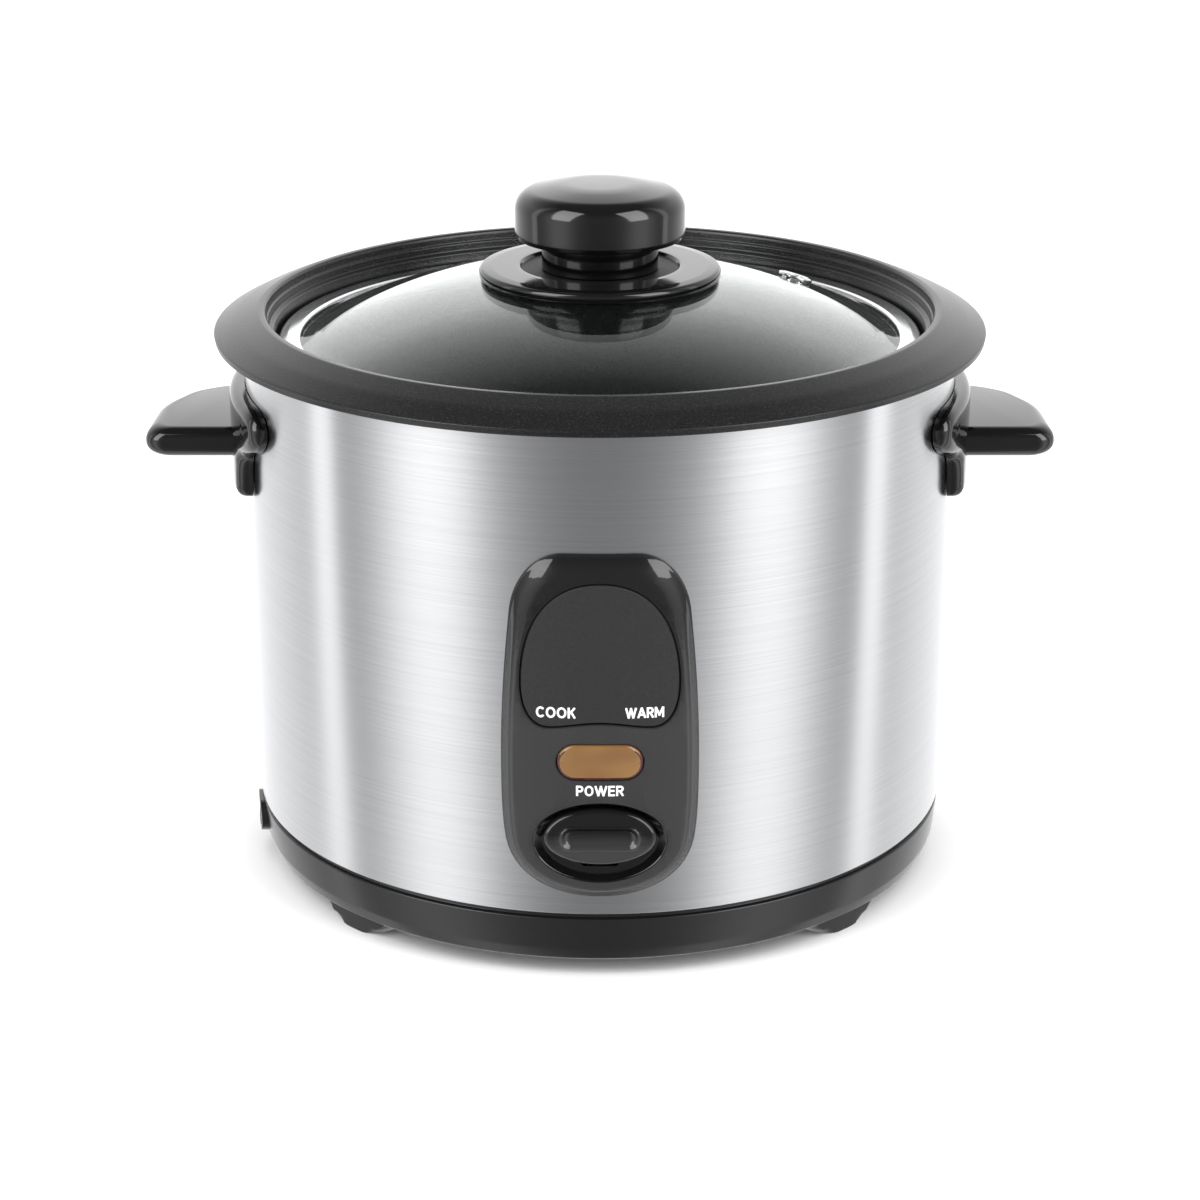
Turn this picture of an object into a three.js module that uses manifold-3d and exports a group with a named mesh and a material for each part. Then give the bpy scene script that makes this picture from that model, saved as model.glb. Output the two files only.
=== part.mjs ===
// Drum rice cooker. Millimetres, +Z up, front towards -Y, feet standing on z = 0.
// Round pieces share the Z axis. Each named mesh is one separate piece of the real appliance.

import * as THREE from 'three';
import { mergeVertices } from 'three/addons/utils/BufferGeometryUtils.js';
import Module from 'manifold-3d';

const wasm = await Module();
wasm.setup();

// ---- Driving dimensions -------------------------------------------------------------------

const GAP = 0.3;                 // clearance kept between pieces that touch
const BIG = 40;                  // facets round the drum, pot and lid
const MID = 28;                  // facets round the knob and heating plate
const SMALL = 12;                // facets round screws, pins and posts

const DRUM = { r: 115, sheet: 0.8, bottom: 22.5, top: 182.6, lip: 109.8 };
const LINER = { r: 109.4, sheet: 0.7, bottom: 50, top: 183.6, flange: 112.5 };
const BASE = { rTop: 114.6, rBottom: 113, wall: 2.2, bottom: 6, floor: 8, chamfer: 1.6 };
const FOOT = { x: 72.7, rTop: 16, rBottom: 9.5, height: 5.7 };

const PLATE = { r: 78, hole: 18.6, bottom: 54, top: 61.7 };
const SENSOR = { r: 17, wall: 1.2, bottom: 52, top: 61.7 };

const POT = { r: 100.3, wall: 1.3, bottom: 62, seat: 171.3 };
const FLARE = { r: 124.4, hem: 177.7, crestR: 108.7, crest: 186.2 };
const LID = { r: 104, band: 97, bottom: 171.6, top: 177, sheet: 0.6 };
const GLASS = { r: 102.8, thick: 3.4, edge: 176.1, dome: 222.8, top: 197.6, hole: 3.2 };
const VENT = { x: 65, y: 33, r: 5.6, hole: 3.4 };

const KNOB = { r: 27.4, bottom: 207.7, side: 218.2, top: 225.3 };
const STEM = { r: 18.8, top: 207.4 };
const SKIRT = { r: 39, top: 197.6, moatR: 25.6, moat: 196.4, edge: 1.4 };

const PANEL = { back: 115.3, face: 118.8, top: 139.5, bottom: 29.1, halfWidth: 30.7 };
const LABEL = { top: 131.4, bottom: 85.6, depth: 1 };
const LENS = { halfX: 12.95, halfZ: 5.55, z: 74.65, face: 119.2 };
const RECESS = { halfX: 20, halfZ: 12.75, z: 48.25, floor: 116.1 };

const LEVER = { halfX: 17, halfZ: 8.75, z: 50.75, front: 121.8, back: 116.9 };
const ARM = { bottom: 40.7, top: 42.7, halfX: 5, front: -112, rear: -14 };
const PIVOT = { y: -62, z: 37.4, pin: 1.9 };
const SWITCH = { y: -86, bottom: 26, top: 36.4, plunger: 1.7 };
const ROD = { r: 2.5, bottom: 24, magnetR: 7, magnetBottom: 44.2, magnetTop: 48.2 };

const HANDLE = { back: 115.3, face: 120.3, reach: 146, bottom: 141.5, top: 151.3, halfY: 28.5 };
const SADDLE = { top: 162.8, bottom: 129.3, halfY: 50 };
const HANDLE_SCREW = { y: 20, z: 136, shank: 1.6 };

const POSTS = { r: 85, radius: 4, angles: [0, 120, 240] };
const STANDOFFS = { r: 55, radius: 4, angles: [30, 150, 270] };
const TERMINALS = { x: 30, y: 45, r: 2.5, bottom: 38 };
const PANEL_FACETS = 120;        // facets round thin skins cut from a full ring
const PIN_R = 1.4;               // radius of the mains pins
const BLOCK = { x: -92, y: -16, halfX: 6, halfY: 14, height: 12 };
const FUSE = { y: 62, z: 40, r: 2.2, x0: -8, x1: 12 };
const INLET = { y: -16, z: 13.8, halfY: 9.5, halfZ: 5.2, wall: 1.6, back: 103, face: 116.2, pinPitch: 8.6 };

// ---- Materials ----------------------------------------------------------------------------

function finish(color, roughness, metalness) {
  return new THREE.MeshStandardMaterial({ color, roughness, metalness });
}

const steel = finish('#c4c6c8', 0.32, 1);
const polishedSteel = finish('#d6d8da', 0.15, 1);
const aluminium = finish('#b9bbbd', 0.45, 1);
const blackGloss = finish('#141414', 0.2, 0);
const blackSatin = finish('#232323', 0.45, 0);
const nonStick = finish('#1f1f20', 0.4, 0.1);
const labelGrey = finish('#2b2b2c', 0.6, 0);
const amber = finish('#7a5a34', 0.25, 0);
const glass = finish('#cfd8d6', 0.05, 0);
const zinc = finish('#a9aaa8', 0.4, 1);
const brass = finish('#b08d4a', 0.35, 1);
const ceramic = finish('#e6e2d8', 0.6, 0);
const wire = finish('#8c2f24', 0.5, 0);
const ferrite = finish('#3a3a3c', 0.6, 0.4);

// ---- Geometry helpers ---------------------------------------------------------------------

// Six times the enclosed volume; negative when the faces point inwards.
function signedVolume(geometry) {
  const position = geometry.attributes.position;
  const index = geometry.index;
  const count = index ? index.count : position.count;
  const corner = (i) => new THREE.Vector3().fromBufferAttribute(position, index ? index.getX(i) : i);
  let sum = 0;
  for (let i = 0; i < count; i += 3) {
    sum += corner(i).dot(corner(i + 1).cross(corner(i + 2)));
  }
  return sum;
}

// A closed body with shared vertices, no slivers, and its faces pointing out.
function closed(geometry) {
  const bare = geometry.clone();
  bare.deleteAttribute('normal');
  bare.deleteAttribute('uv');
  const merged = mergeVertices(bare, 1e-3);
  const flip = signedVolume(merged) < 0;
  const index = [];
  for (let i = 0; i < merged.index.count; i += 3) {
    const a = merged.index.getX(i);
    const b = merged.index.getX(i + 1);
    const c = merged.index.getX(i + 2);
    if (a !== b && b !== c && c !== a) {
      index.push(a, flip ? c : b, flip ? b : c);
    }
  }
  merged.setIndex(index);
  return merged;
}

function toSolid(geometry) {
  const body = closed(geometry);
  return new wasm.Manifold(new wasm.Mesh({
    numProp: 3,
    vertProperties: Float32Array.from(body.attributes.position.array),
    triVerts: Uint32Array.from(body.index.array),
  }));
}

function toGeometry(solid) {
  const mesh = solid.getMesh();
  const geometry = new THREE.BufferGeometry();
  geometry.setAttribute('position', new THREE.BufferAttribute(mesh.vertProperties, 3));
  geometry.setIndex(new THREE.BufferAttribute(mesh.triVerts, 1));
  return geometry;
}

function cut(geometry, ...tools) {
  const result = tools.reduce((body, tool) => body.subtract(toSolid(tool)), toSolid(geometry));
  return toGeometry(result);
}

function join(...pieces) {
  const [first, ...rest] = pieces.map(toSolid);
  return toGeometry(rest.reduce((body, piece) => body.add(piece), first));
}

function common(a, b) {
  return toGeometry(toSolid(a).intersect(toSolid(b)));
}

// A turned piece from [radius, height] points, upright on the Z axis.
function turned(profile, facets = BIG) {
  const points = profile.map(([r, z]) => new THREE.Vector2(r, z));
  return closed(new THREE.LatheGeometry(points, facets).rotateX(Math.PI / 2));
}

function ring(rIn, rOut, z0, z1, facets = BIG) {
  return turned([[rIn, z0], [rOut, z0], [rOut, z1], [rIn, z1], [rIn, z0]], facets);
}

function disc(r, z0, z1, facets = SMALL) {
  return turned([[0, z0], [r, z0], [r, z1], [0, z1]], facets);
}

function box(x0, x1, y0, y1, z0, z1) {
  const geometry = new THREE.BoxGeometry(x1 - x0, y1 - y0, z1 - z0);
  return geometry.translate((x0 + x1) / 2, (y0 + y1) / 2, (z0 + z1) / 2);
}

// A plate cut to an outline in X and Y, between two heights.
function plateXY(shape, z0, z1, curveSegments = 6) {
  const geometry = new THREE.ExtrudeGeometry(shape, { depth: z1 - z0, bevelEnabled: false, curveSegments });
  return closed(geometry.translate(0, 0, z0));
}

// A plate cut to an outline in X and Z, between two Y values.
function plateXZ(shape, y0, y1, curveSegments = 6) {
  const geometry = new THREE.ExtrudeGeometry(shape, { depth: y1 - y0, bevelEnabled: false, curveSegments });
  return closed(geometry.rotateX(Math.PI / 2).translate(0, y1, 0));
}

// A plate cut to an outline in Y and Z, between two X values.
function plateYZ(shape, x0, x1, curveSegments = 6) {
  const geometry = new THREE.ExtrudeGeometry(shape, { depth: x1 - x0, bevelEnabled: false, curveSegments });
  return closed(geometry.rotateX(Math.PI / 2).rotateZ(Math.PI / 2).translate(x0, 0, 0));
}

function ellipse(halfX, halfZ, z) {
  return new THREE.Shape().absellipse(0, z, halfX, halfZ, 0, Math.PI * 2);
}

function stadium(halfX, halfZ, z) {
  const shape = new THREE.Shape();
  const x = halfX - halfZ;
  shape.absarc(x, z, halfZ, -Math.PI / 2, Math.PI / 2);
  shape.absarc(-x, z, halfZ, Math.PI / 2, Math.PI * 1.5);
  return shape;
}

function polar(radius, degrees) {
  const angle = THREE.MathUtils.degToRad(degrees);
  return [radius * Math.cos(angle), radius * Math.sin(angle)];
}

// Lays a piece made along +Z so that its axis points outwards at an angle round the drum.
function radial(geometry, degrees, z) {
  return geometry.rotateY(Math.PI / 2).rotateZ(THREE.MathUtils.degToRad(degrees)).translate(0, 0, z);
}

const cooker = new THREE.Group();

function add(name, geometry, material) {
  const mesh = new THREE.Mesh(closed(geometry), material);
  mesh.name = name;
  cooker.add(mesh);
}

// ---- Drum, liner and base -----------------------------------------------------------------

const handleScrewAngle = THREE.MathUtils.radToDeg(Math.asin(HANDLE_SCREW.y / DRUM.r));
const handleScrewAngles = [0, 180].flatMap((side) => [side + handleScrewAngle, side - handleScrewAngle]);

function outerShell() {
  const { r, sheet, bottom, top, lip } = DRUM;
  const shoulder = 2.4;
  const lipDepth = 6;
  const profile = [
    [r - 2.5, bottom], [r, bottom],
    [r, top - shoulder], [r - 0.7, top - 0.7], [r - shoulder, top],
    [lip, top], [lip, top - lipDepth], [lip + sheet, top - lipDepth], [lip + sheet, top - sheet],
    [r - shoulder - 0.3, top - sheet], [r - sheet, top - shoulder - 0.3],
    [r - sheet, bottom + sheet], [r - 2.5, bottom + sheet], [r - 2.5, bottom],
  ];
  const leverSlot = box(-7, 7, -r - 5, -r + 5, 35.5, 50.5);
  const lampWindow = plateXZ(stadium(LENS.halfX + 0.6, LENS.halfZ + 0.6, LENS.z), -r - 5, -r + 5);
  const screwHoles = handleScrewAngles.map((angle) => (
    radial(disc(HANDLE_SCREW.shank + 0.4, r - 8, r + 8), angle, HANDLE_SCREW.z)));
  return cut(turned(profile), leverSlot, lampWindow, ...screwHoles);
}

function innerLiner() {
  const { r, sheet, bottom, top, flange } = LINER;
  const centreHole = 28;
  const corner = 5;
  const profile = [
    [centreHole, bottom], [r - corner, bottom], [r, bottom + corner], [r, top - sheet],
    [flange, top - sheet], [flange, top], [r - sheet, top],
    [r - sheet, bottom + corner + 0.3], [r - corner - 0.3, bottom + sheet],
    [centreHole, bottom + sheet], [centreHole, bottom],
  ];
  const holes = [-1, 1].map((side) => (
    disc(TERMINALS.r + 1.5, bottom - 5, bottom + 5).translate(side * TERMINALS.x, TERMINALS.y, 0)));
  return cut(turned(profile), ...holes);
}

function baseCover() {
  const { rTop, rBottom, wall, bottom, floor, chamfer } = BASE;
  const top = DRUM.bottom - GAP;
  const profile = [
    [0, bottom], [rBottom - chamfer, bottom], [rBottom, bottom + chamfer], [rTop, top],
    [rTop - wall, top], [rBottom - wall, floor], [0, floor],
  ];
  const screwHoles = POSTS.angles.map((angle) => {
    const [x, y] = polar(POSTS.r, angle);
    return disc(2.2, bottom - 5, floor + 5).translate(x, y, 0);
  });
  const slotLength = 22;
  const ventSlots = [60, 76, 92, 108, 124, 236, 252, 268, 284, 300].map((angle) => (
    box(36, 36 + slotLength, -1.6, 1.6, bottom - 5, floor + 5).rotateZ(THREE.MathUtils.degToRad(angle))));
  const inletHole = inletPlug(INLET.halfY + GAP, INLET.halfZ + GAP, -rTop - 5, -100);
  return cut(turned(profile), ...screwHoles, ...ventSlots, inletHole);
}

// One foot, under the base at the rear right, kept within the base's lower edge.
function foot() {
  const { x, rTop, rBottom, height } = FOOT;
  const recess = 3.5;
  const cone = turned([
    [0, 2], [recess, 2], [recess, 0], [rBottom - 1, 0], [rBottom, 1], [rTop, height], [0, height],
  ], 20);
  return common(cone.translate(x, x, 0), disc(BASE.rBottom - BASE.chamfer, -1, height + 1, BIG));
}

function baseScrew() {
  const headTop = BASE.bottom - GAP;
  return turned([[0, 3.9], [3.4, 3.9], [4, 4.5], [4, headTop], [1.5, headTop], [1.5, 18], [0, 18]], SMALL);
}

// A steel post between the base floor and the liner, with a tapped hole for its screw.
function bodyPost() {
  const z0 = BASE.floor + GAP;
  const z1 = LINER.bottom - GAP;
  return turned([
    [1.8, z0], [POSTS.radius, z0], [POSTS.radius, z1], [0, z1], [0, 20], [1.8, 20], [1.8, z0],
  ], SMALL);
}

// A stadium-shaped plug lying along X at the mains inlet's place in the base wall.
function inletPlug(halfY, halfZ, x0, x1) {
  return plateYZ(stadium(halfY, halfZ, INLET.z), x0, x1).translate(0, INLET.y, 0);
}

// Mains inlet: a socket for the cord's connector, its face following the round base.
function powerInlet() {
  const { y, z, halfY, halfZ, wall, back, face, pinPitch } = INLET;
  const shroud = common(ring(back, face, 0, 25, PANEL_FACETS), inletPlug(halfY, halfZ, -120, -90));
  const socket = inletPlug(halfY - wall, halfZ - wall, -120, -back - 1.5);
  const pinHoles = [-1, 1].map((side) => (
    disc(PIN_R + GAP, -120, -90).rotateY(Math.PI / 2).translate(0, y + side * pinPitch / 2, z)));
  return cut(shroud, socket, ...pinHoles);
}

function inletPin(side) {
  const inner = BLOCK.x - BLOCK.halfX - GAP;
  const pin = disc(PIN_R, 2 - INLET.face, inner).rotateY(Math.PI / 2);
  return pin.translate(0, INLET.y + side * INLET.pinPitch / 2, INLET.z);
}

// ---- Handles ------------------------------------------------------------------------------

function saddleOutline() {
  const { top, bottom, halfY } = SADDLE;
  const shape = new THREE.Shape();
  shape.moveTo(-29, bottom);
  shape.lineTo(29, bottom);
  shape.quadraticCurveTo(33, bottom, 33, bottom + 4.5);
  shape.bezierCurveTo(33.5, 141, 35, 144.5, 38.4, 145.7);
  shape.bezierCurveTo(42, 147.2, 47, 149.5, 49, 153);
  shape.bezierCurveTo(halfY + 0.6, 156, halfY, 160, 46.5, top - 1);
  shape.quadraticCurveTo(44.5, top, 42, top);
  shape.lineTo(-42, top);
  shape.quadraticCurveTo(-44.5, top, -46.5, top - 1);
  shape.bezierCurveTo(-halfY, 160, -halfY - 0.6, 156, -49, 153);
  shape.bezierCurveTo(-47, 149.5, -42, 147.2, -38.4, 145.7);
  shape.bezierCurveTo(-35, 144.5, -33.5, 141, -33, bottom + 4.5);
  shape.quadraticCurveTo(-33, bottom, -29, bottom);
  return shape;
}

function paddleOutline() {
  const { halfY, reach } = HANDLE;
  const root = 117;
  const shape = new THREE.Shape();
  shape.moveTo(root, -halfY);
  shape.lineTo(reach - 6, -halfY);
  shape.quadraticCurveTo(reach, -halfY, reach, -halfY + 6);
  shape.lineTo(reach - 1, 0);
  shape.bezierCurveTo(reach - 3, 16, reach - 12, halfY, 122, halfY);
  shape.lineTo(root, halfY);
  shape.closePath();
  return shape;
}

function rightHandle() {
  const { back, face, bottom, top } = HANDLE;
  const saddle = common(ring(back, face, 100, 190, 120), plateYZ(saddleOutline(), 60, 140));
  const paddle = plateXY(paddleOutline(), bottom, top);
  const holes = [1, -1].map((side) => (
    radial(disc(HANDLE_SCREW.shank + 0.2, back - 3, back + 3.4), side * handleScrewAngle, HANDLE_SCREW.z)));
  return cut(join(saddle, paddle), ...holes);
}

function handleScrew(angle) {
  const inner = DRUM.r - DRUM.sheet - 0.9;
  const head = HANDLE_SCREW.shank + 1.8;
  const tip = HANDLE.back + 2.8;
  return radial(turned([
    [0, inner - 1.8], [head, inner - 1.8], [head, inner], [HANDLE_SCREW.shank, inner],
    [HANDLE_SCREW.shank, tip], [0, tip],
  ], SMALL), angle, HANDLE_SCREW.z);
}

// ---- Control panel ------------------------------------------------------------------------

function panelOutline() {
  const { top, bottom, halfWidth } = PANEL;
  const shape = new THREE.Shape();
  shape.moveTo(0, bottom);
  shape.bezierCurveTo(15, bottom, 27, 35, 29.4, 47);
  shape.bezierCurveTo(30.6, 54, halfWidth, 62, halfWidth, 72.5);
  shape.bezierCurveTo(halfWidth, 92, 29, 110, 27.7, 122);
  shape.bezierCurveTo(26.6, 130.5, 21, top, 11, top);
  shape.lineTo(-11, top);
  shape.bezierCurveTo(-21, top, -26.6, 130.5, -27.7, 122);
  shape.bezierCurveTo(-29, 110, -halfWidth, 92, -halfWidth, 72.5);
  shape.bezierCurveTo(-halfWidth, 62, -30.6, 54, -29.4, 47);
  shape.bezierCurveTo(-27, 35, -15, bottom, 0, bottom);
  return shape;
}

// The label's outline, shrunk all round by inset for the plate that lies in the recess.
function labelOutline(inset) {
  const top = LABEL.top - inset;
  const low = LABEL.bottom + inset;
  const side = 24 - inset;
  const shape = new THREE.Shape();
  shape.moveTo(0, low + 1);
  shape.bezierCurveTo(6, low + 1, 11, low, 16 - inset, low);
  shape.bezierCurveTo(21, low, side, 90, side, 99.5);
  shape.bezierCurveTo(side, 117, 18, top, 0, top);
  shape.bezierCurveTo(-18, top, -side, 117, -side, 99.5);
  shape.bezierCurveTo(-side, 90, -21, low, -16 + inset, low);
  shape.bezierCurveTo(-11, low, -6, low + 1, 0, low + 1);
  return shape;
}

function panelSkin(rIn, rOut) {
  return ring(rIn, rOut, 10, 160, PANEL_FACETS);
}

function controlPanel() {
  const { back, face } = PANEL;
  const blank = common(panelSkin(back, face), plateXZ(panelOutline(), -130, -90, 8));
  const labelRecess = common(panelSkin(face - LABEL.depth, face + 5), plateXZ(labelOutline(0), -130, -90, 8));
  const leverDish = common(
    panelSkin(RECESS.floor, face + 5),
    plateXZ(ellipse(RECESS.halfX, RECESS.halfZ, RECESS.z), -130, -90, 14),
  );
  const lensHole = plateXZ(stadium(LENS.halfX + GAP, LENS.halfZ + GAP, LENS.z), -130, -90);
  const neckSlot = box(-6.5, 6.5, -130, -90, 36.4, 50);
  return cut(blank, labelRecess, leverDish, lensHole, neckSlot);
}

function labelPlate() {
  const bottom = PANEL.face - LABEL.depth + GAP;
  return common(panelSkin(bottom, PANEL.face), plateXZ(labelOutline(0.5), -130, -90, 8));
}

function powerLens() {
  const outline = stadium(LENS.halfX, LENS.halfZ, LENS.z);
  return common(panelSkin(DRUM.r - 0.7, LENS.face), plateXZ(outline, -130, -90));
}

function neonLamp(side) {
  const lamp = disc(1.5, -4, 4, 10).rotateY(Math.PI / 2);
  return lamp.translate(side * 6, -112, LENS.z);
}

// ---- Lever, switch and magnet -------------------------------------------------------------

function cookLever() {
  const { halfX, halfZ, z, front, back } = LEVER;
  const pad = plateXZ(ellipse(halfX, halfZ, z), -front, -back, 12);
  const dent = plateXZ(stadium(11.85, 3.5, z), -front - 1, -front + 0.8);
  const neck = box(-5, 5, -back - 0.5, -105, ARM.top + GAP, 47.2);
  return cut(join(pad, neck), dent);
}

function leverArm() {
  const { bottom, top, halfX, front, rear } = ARM;
  const strip = box(-halfX, halfX, front, rear, bottom, top);
  const lug = box(-halfX, halfX, PIVOT.y - 4, PIVOT.y + 4, PIVOT.z - 4, bottom + 0.5);
  const tine = 1.7;
  const fork = [-5.3, 5.3].map((x) => box(x - tine, x + tine, rear - 4, 4, bottom, top));
  const pinHole = disc(PIVOT.pin + GAP, -20, 20).rotateY(Math.PI / 2).translate(0, PIVOT.y, PIVOT.z);
  return cut(join(strip, lug, ...fork), pinHole);
}

const EAR = { inner: 8, outer: 9.6 };

function leverPin() {
  return disc(PIVOT.pin, -10.6, 10.6).rotateY(Math.PI / 2).translate(0, PIVOT.y, PIVOT.z);
}

function leverBracket() {
  const z0 = BASE.floor + GAP;
  const seat = SWITCH.bottom - GAP;
  const foot = box(-EAR.outer, EAR.outer, -98, -54, z0, z0 + 1.6);
  const ears = [-1, 1].map((side) => {
    const x = side * (EAR.inner + EAR.outer) / 2;
    return box(x - 0.8, x + 0.8, PIVOT.y - 5, PIVOT.y + 5, z0 + 1, PIVOT.z + 5);
  });
  const tower = box(-4, 4, SWITCH.y - 9, SWITCH.y + 9, z0 + 1, seat);
  const pinHole = disc(PIVOT.pin + GAP, -20, 20).rotateY(Math.PI / 2).translate(0, PIVOT.y, PIVOT.z);
  return cut(join(foot, ...ears, tower), pinHole);
}

function microSwitch() {
  const { y, bottom, top, plunger } = SWITCH;
  const body = box(-3.2, 3.2, y - 10, y + 10, bottom, top);
  const well = disc(plunger + GAP, top - 5.4, top + 5).translate(0, y, 0);
  return cut(body, well);
}

function switchPlunger() {
  const { y, top, plunger } = SWITCH;
  return disc(plunger, top - 2.4, ARM.bottom - GAP).translate(0, y, 0);
}

// Rod with the magnet above the fork and a stop collar below it.
function magnetRod() {
  const { r, bottom, magnetR, magnetBottom, magnetTop } = ROD;
  const collar = [ARM.bottom - 3.5, ARM.bottom - 1.5];
  return turned([
    [0, bottom], [r, bottom], [r, collar[0]], [magnetR, collar[0]], [magnetR, collar[1]], [r, collar[1]],
    [r, magnetBottom], [magnetR, magnetBottom], [magnetR, magnetTop], [0, magnetTop],
  ], 16);
}

// ---- Heating plate and sensor -------------------------------------------------------------

function heatingPlate() {
  const { r, hole, bottom, top } = PLATE;
  return turned([
    [hole, bottom], [r - 10, bottom], [r - 6, bottom + 2], [r, top - 4], [r, top - 2], [r - 3, top - 0.4],
    [r - 10, top], [hole, top], [hole, bottom],
  ], BIG);
}

function sensorCap() {
  const { r, wall, bottom, top } = SENSOR;
  return turned([
    [0, top], [r - 1, top], [r, top - 1], [r, bottom],
    [r - wall, bottom], [r - wall, top - wall], [0, top - wall],
  ], MID);
}

function sensorCore() {
  const top = SENSOR.top - SENSOR.wall - GAP;
  return disc(7.5, top - 2.6, top, 16);
}

const SPRING = { r: 12, wire: 1.1, turns: 4, bottom: 48.6, top: 59.6 };

class Helix extends THREE.Curve {
  getPoint(t, target = new THREE.Vector3()) {
    const angle = 2 * Math.PI * SPRING.turns * t;
    const z = SPRING.bottom + (SPRING.top - SPRING.bottom) * t;
    return target.set(SPRING.r * Math.cos(angle), SPRING.r * Math.sin(angle), z);
  }
}

function sensorSpring() {
  const section = new THREE.Shape().absarc(0, 0, SPRING.wire / 2, 0, Math.PI * 2);
  return closed(new THREE.ExtrudeGeometry(section, {
    steps: 48, curveSegments: 3, bevelEnabled: false, extrudePath: new Helix(),
  }));
}

// Top-hat bracket under the liner; the spring stands on its floor, and the arm's fork moves in its notch.
function sensorBracket() {
  const flangeTop = LINER.bottom - GAP;
  const hat = turned([
    [9.5, 46.4], [30, 46.4], [30, flangeTop - 1.2], [36, flangeTop - 1.2], [36, flangeTop], [28.8, flangeTop],
    [28.8, 47.6], [9.5, 47.6], [9.5, 46.4],
  ], MID);
  const notch = box(-8.5, 8.5, -31, 7, 40, 60);
  return cut(hat, notch);
}

// ---- Electrical pieces --------------------------------------------------------------------

function terminalBlock() {
  const { x, y, halfX, halfY, height } = BLOCK;
  const z0 = BASE.floor + GAP;
  const body = box(x - halfX, x + halfX, y - halfY, y + halfY, z0, z0 + height);
  const well = disc(2.6, z0 + height - 4, z0 + height + 4);
  const wells = [-9, 0, 9].map((offset) => well.clone().translate(x, y + offset, 0));
  return cut(body, ...wells);
}

function thermalFuse() {
  const { y, z, r, x0, x1 } = FUSE;
  return disc(r, x0, x1, 10).rotateY(Math.PI / 2).translate(0, y, z);
}

// An insulated lead along a smooth curve through its points.
function lead(points) {
  const curve = new THREE.CatmullRomCurve3(points.map(([x, y, z]) => new THREE.Vector3(x, y, z)));
  const section = new THREE.Shape().absarc(0, 0, 1.3, 0, Math.PI * 2);
  return closed(new THREE.ExtrudeGeometry(section, {
    steps: 14, curveSegments: 3, bevelEnabled: false, extrudePath: curve,
  }));
}

const blockTop = BASE.floor + GAP + BLOCK.height + GAP;
const terminalBottom = TERMINALS.bottom - GAP;

const leadRoutes = {
  lead_live: [
    [BLOCK.x, BLOCK.y + 9, blockTop], [BLOCK.x, BLOCK.y + 9, blockTop + 6], [-84, 26, 32], [-48, 58, 38],
    [FUSE.x0 - 8, FUSE.y, FUSE.z], [FUSE.x0 - GAP, FUSE.y, FUSE.z],
  ],
  lead_heater: [
    [FUSE.x1 + GAP, FUSE.y, FUSE.z], [FUSE.x1 + 6, FUSE.y, FUSE.z], [25, 56, 32],
    [TERMINALS.x, TERMINALS.y, terminalBottom - 7], [TERMINALS.x, TERMINALS.y, terminalBottom],
  ],
  lead_neutral: [
    [BLOCK.x, BLOCK.y, blockTop], [BLOCK.x, BLOCK.y, blockTop + 5], [-64, 12, 28],
    [-TERMINALS.x, TERMINALS.y, terminalBottom - 8], [-TERMINALS.x, TERMINALS.y, terminalBottom],
  ],
  lead_switch: [
    [BLOCK.x, BLOCK.y - 9, blockTop], [BLOCK.x, BLOCK.y - 9, blockTop + 5], [-68, -46, 25], [-32, -62, 27],
    [-14, -84, 30], [-3.2 - GAP, -86, 30],
  ],
};

// ---- Inner pot ----------------------------------------------------------------------------

function innerPot() {
  const { r, wall, bottom, seat } = POT;
  const { r: rimR, hem, crestR, crest } = FLARE;
  const seatR = 105;
  const stepR = 107;
  const inside = [
    [0, bottom + 1.6], [84, bottom + 1.6], [93, bottom + 4.4], [97.6, bottom + 10.5], [r - wall, bottom + 20],
    [r - wall, seat], [seatR, seat], [seatR, 179.6], [stepR, 180.2], [stepR, 184.6],
    [crestR - 0.5, crest - 0.3], [crestR + 0.8, crest], [116, 183.7], [121.6, 181.1], [rimR - 0.3, 179.6],
  ];
  const outside = [
    [rimR, 179], [rimR, hem], [rimR - wall, hem], [rimR - wall, 178.9], [115.6, 182.4], [110.2, 184.5],
    [stepR + 1.2, 183.8], [stepR + 1.2, 179.4], [seatR + 1.2, 178.8], [seatR + 1.2, seat - wall],
    [r, seat - wall], [r, bottom + 19.8], [98.8, bottom + 9.9], [93.8, bottom + 3.2],
    [84, bottom], [0, bottom],
  ];
  return turned([...inside, ...outside]);
}

// ---- Lid ----------------------------------------------------------------------------------

// Height of the glass dome's upper face at a radius.
function domeHeight(r, drop = 0) {
  const { dome, top } = GLASS;
  return top - drop - (dome - Math.sqrt(dome * dome - r * r));
}

function lidGlass() {
  const { r, thick, edge, hole } = GLASS;
  const radii = [hole, 30, 55, 76, 94];
  const upper = radii.map((radius) => [radius, domeHeight(radius)]);
  const lower = radii.map((radius) => [radius, domeHeight(radius, thick)]).reverse();
  const flange = [[98, edge], [r, edge], [r, edge - thick], [97.5, edge - thick]];
  const profile = [...upper, ...flange, ...lower, upper[0]];
  const ventHole = ventPlaced(disc(VENT.hole + 1 + GAP, -20, 20, 16));
  return cut(turned(profile), ventHole);
}

// Channel of thin steel folded over the glass edge.
function lidRim() {
  const { r, band, bottom, top, sheet } = LID;
  return turned([
    [band, top - sheet], [r - sheet, top - sheet], [r - sheet, bottom + sheet], [band + 1, bottom + sheet],
    [band + 1, bottom], [r - 0.4, bottom], [r, bottom + 0.4], [r, top - 1], [r - 1, top], [band, top],
    [band, top - sheet],
  ]);
}

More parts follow.
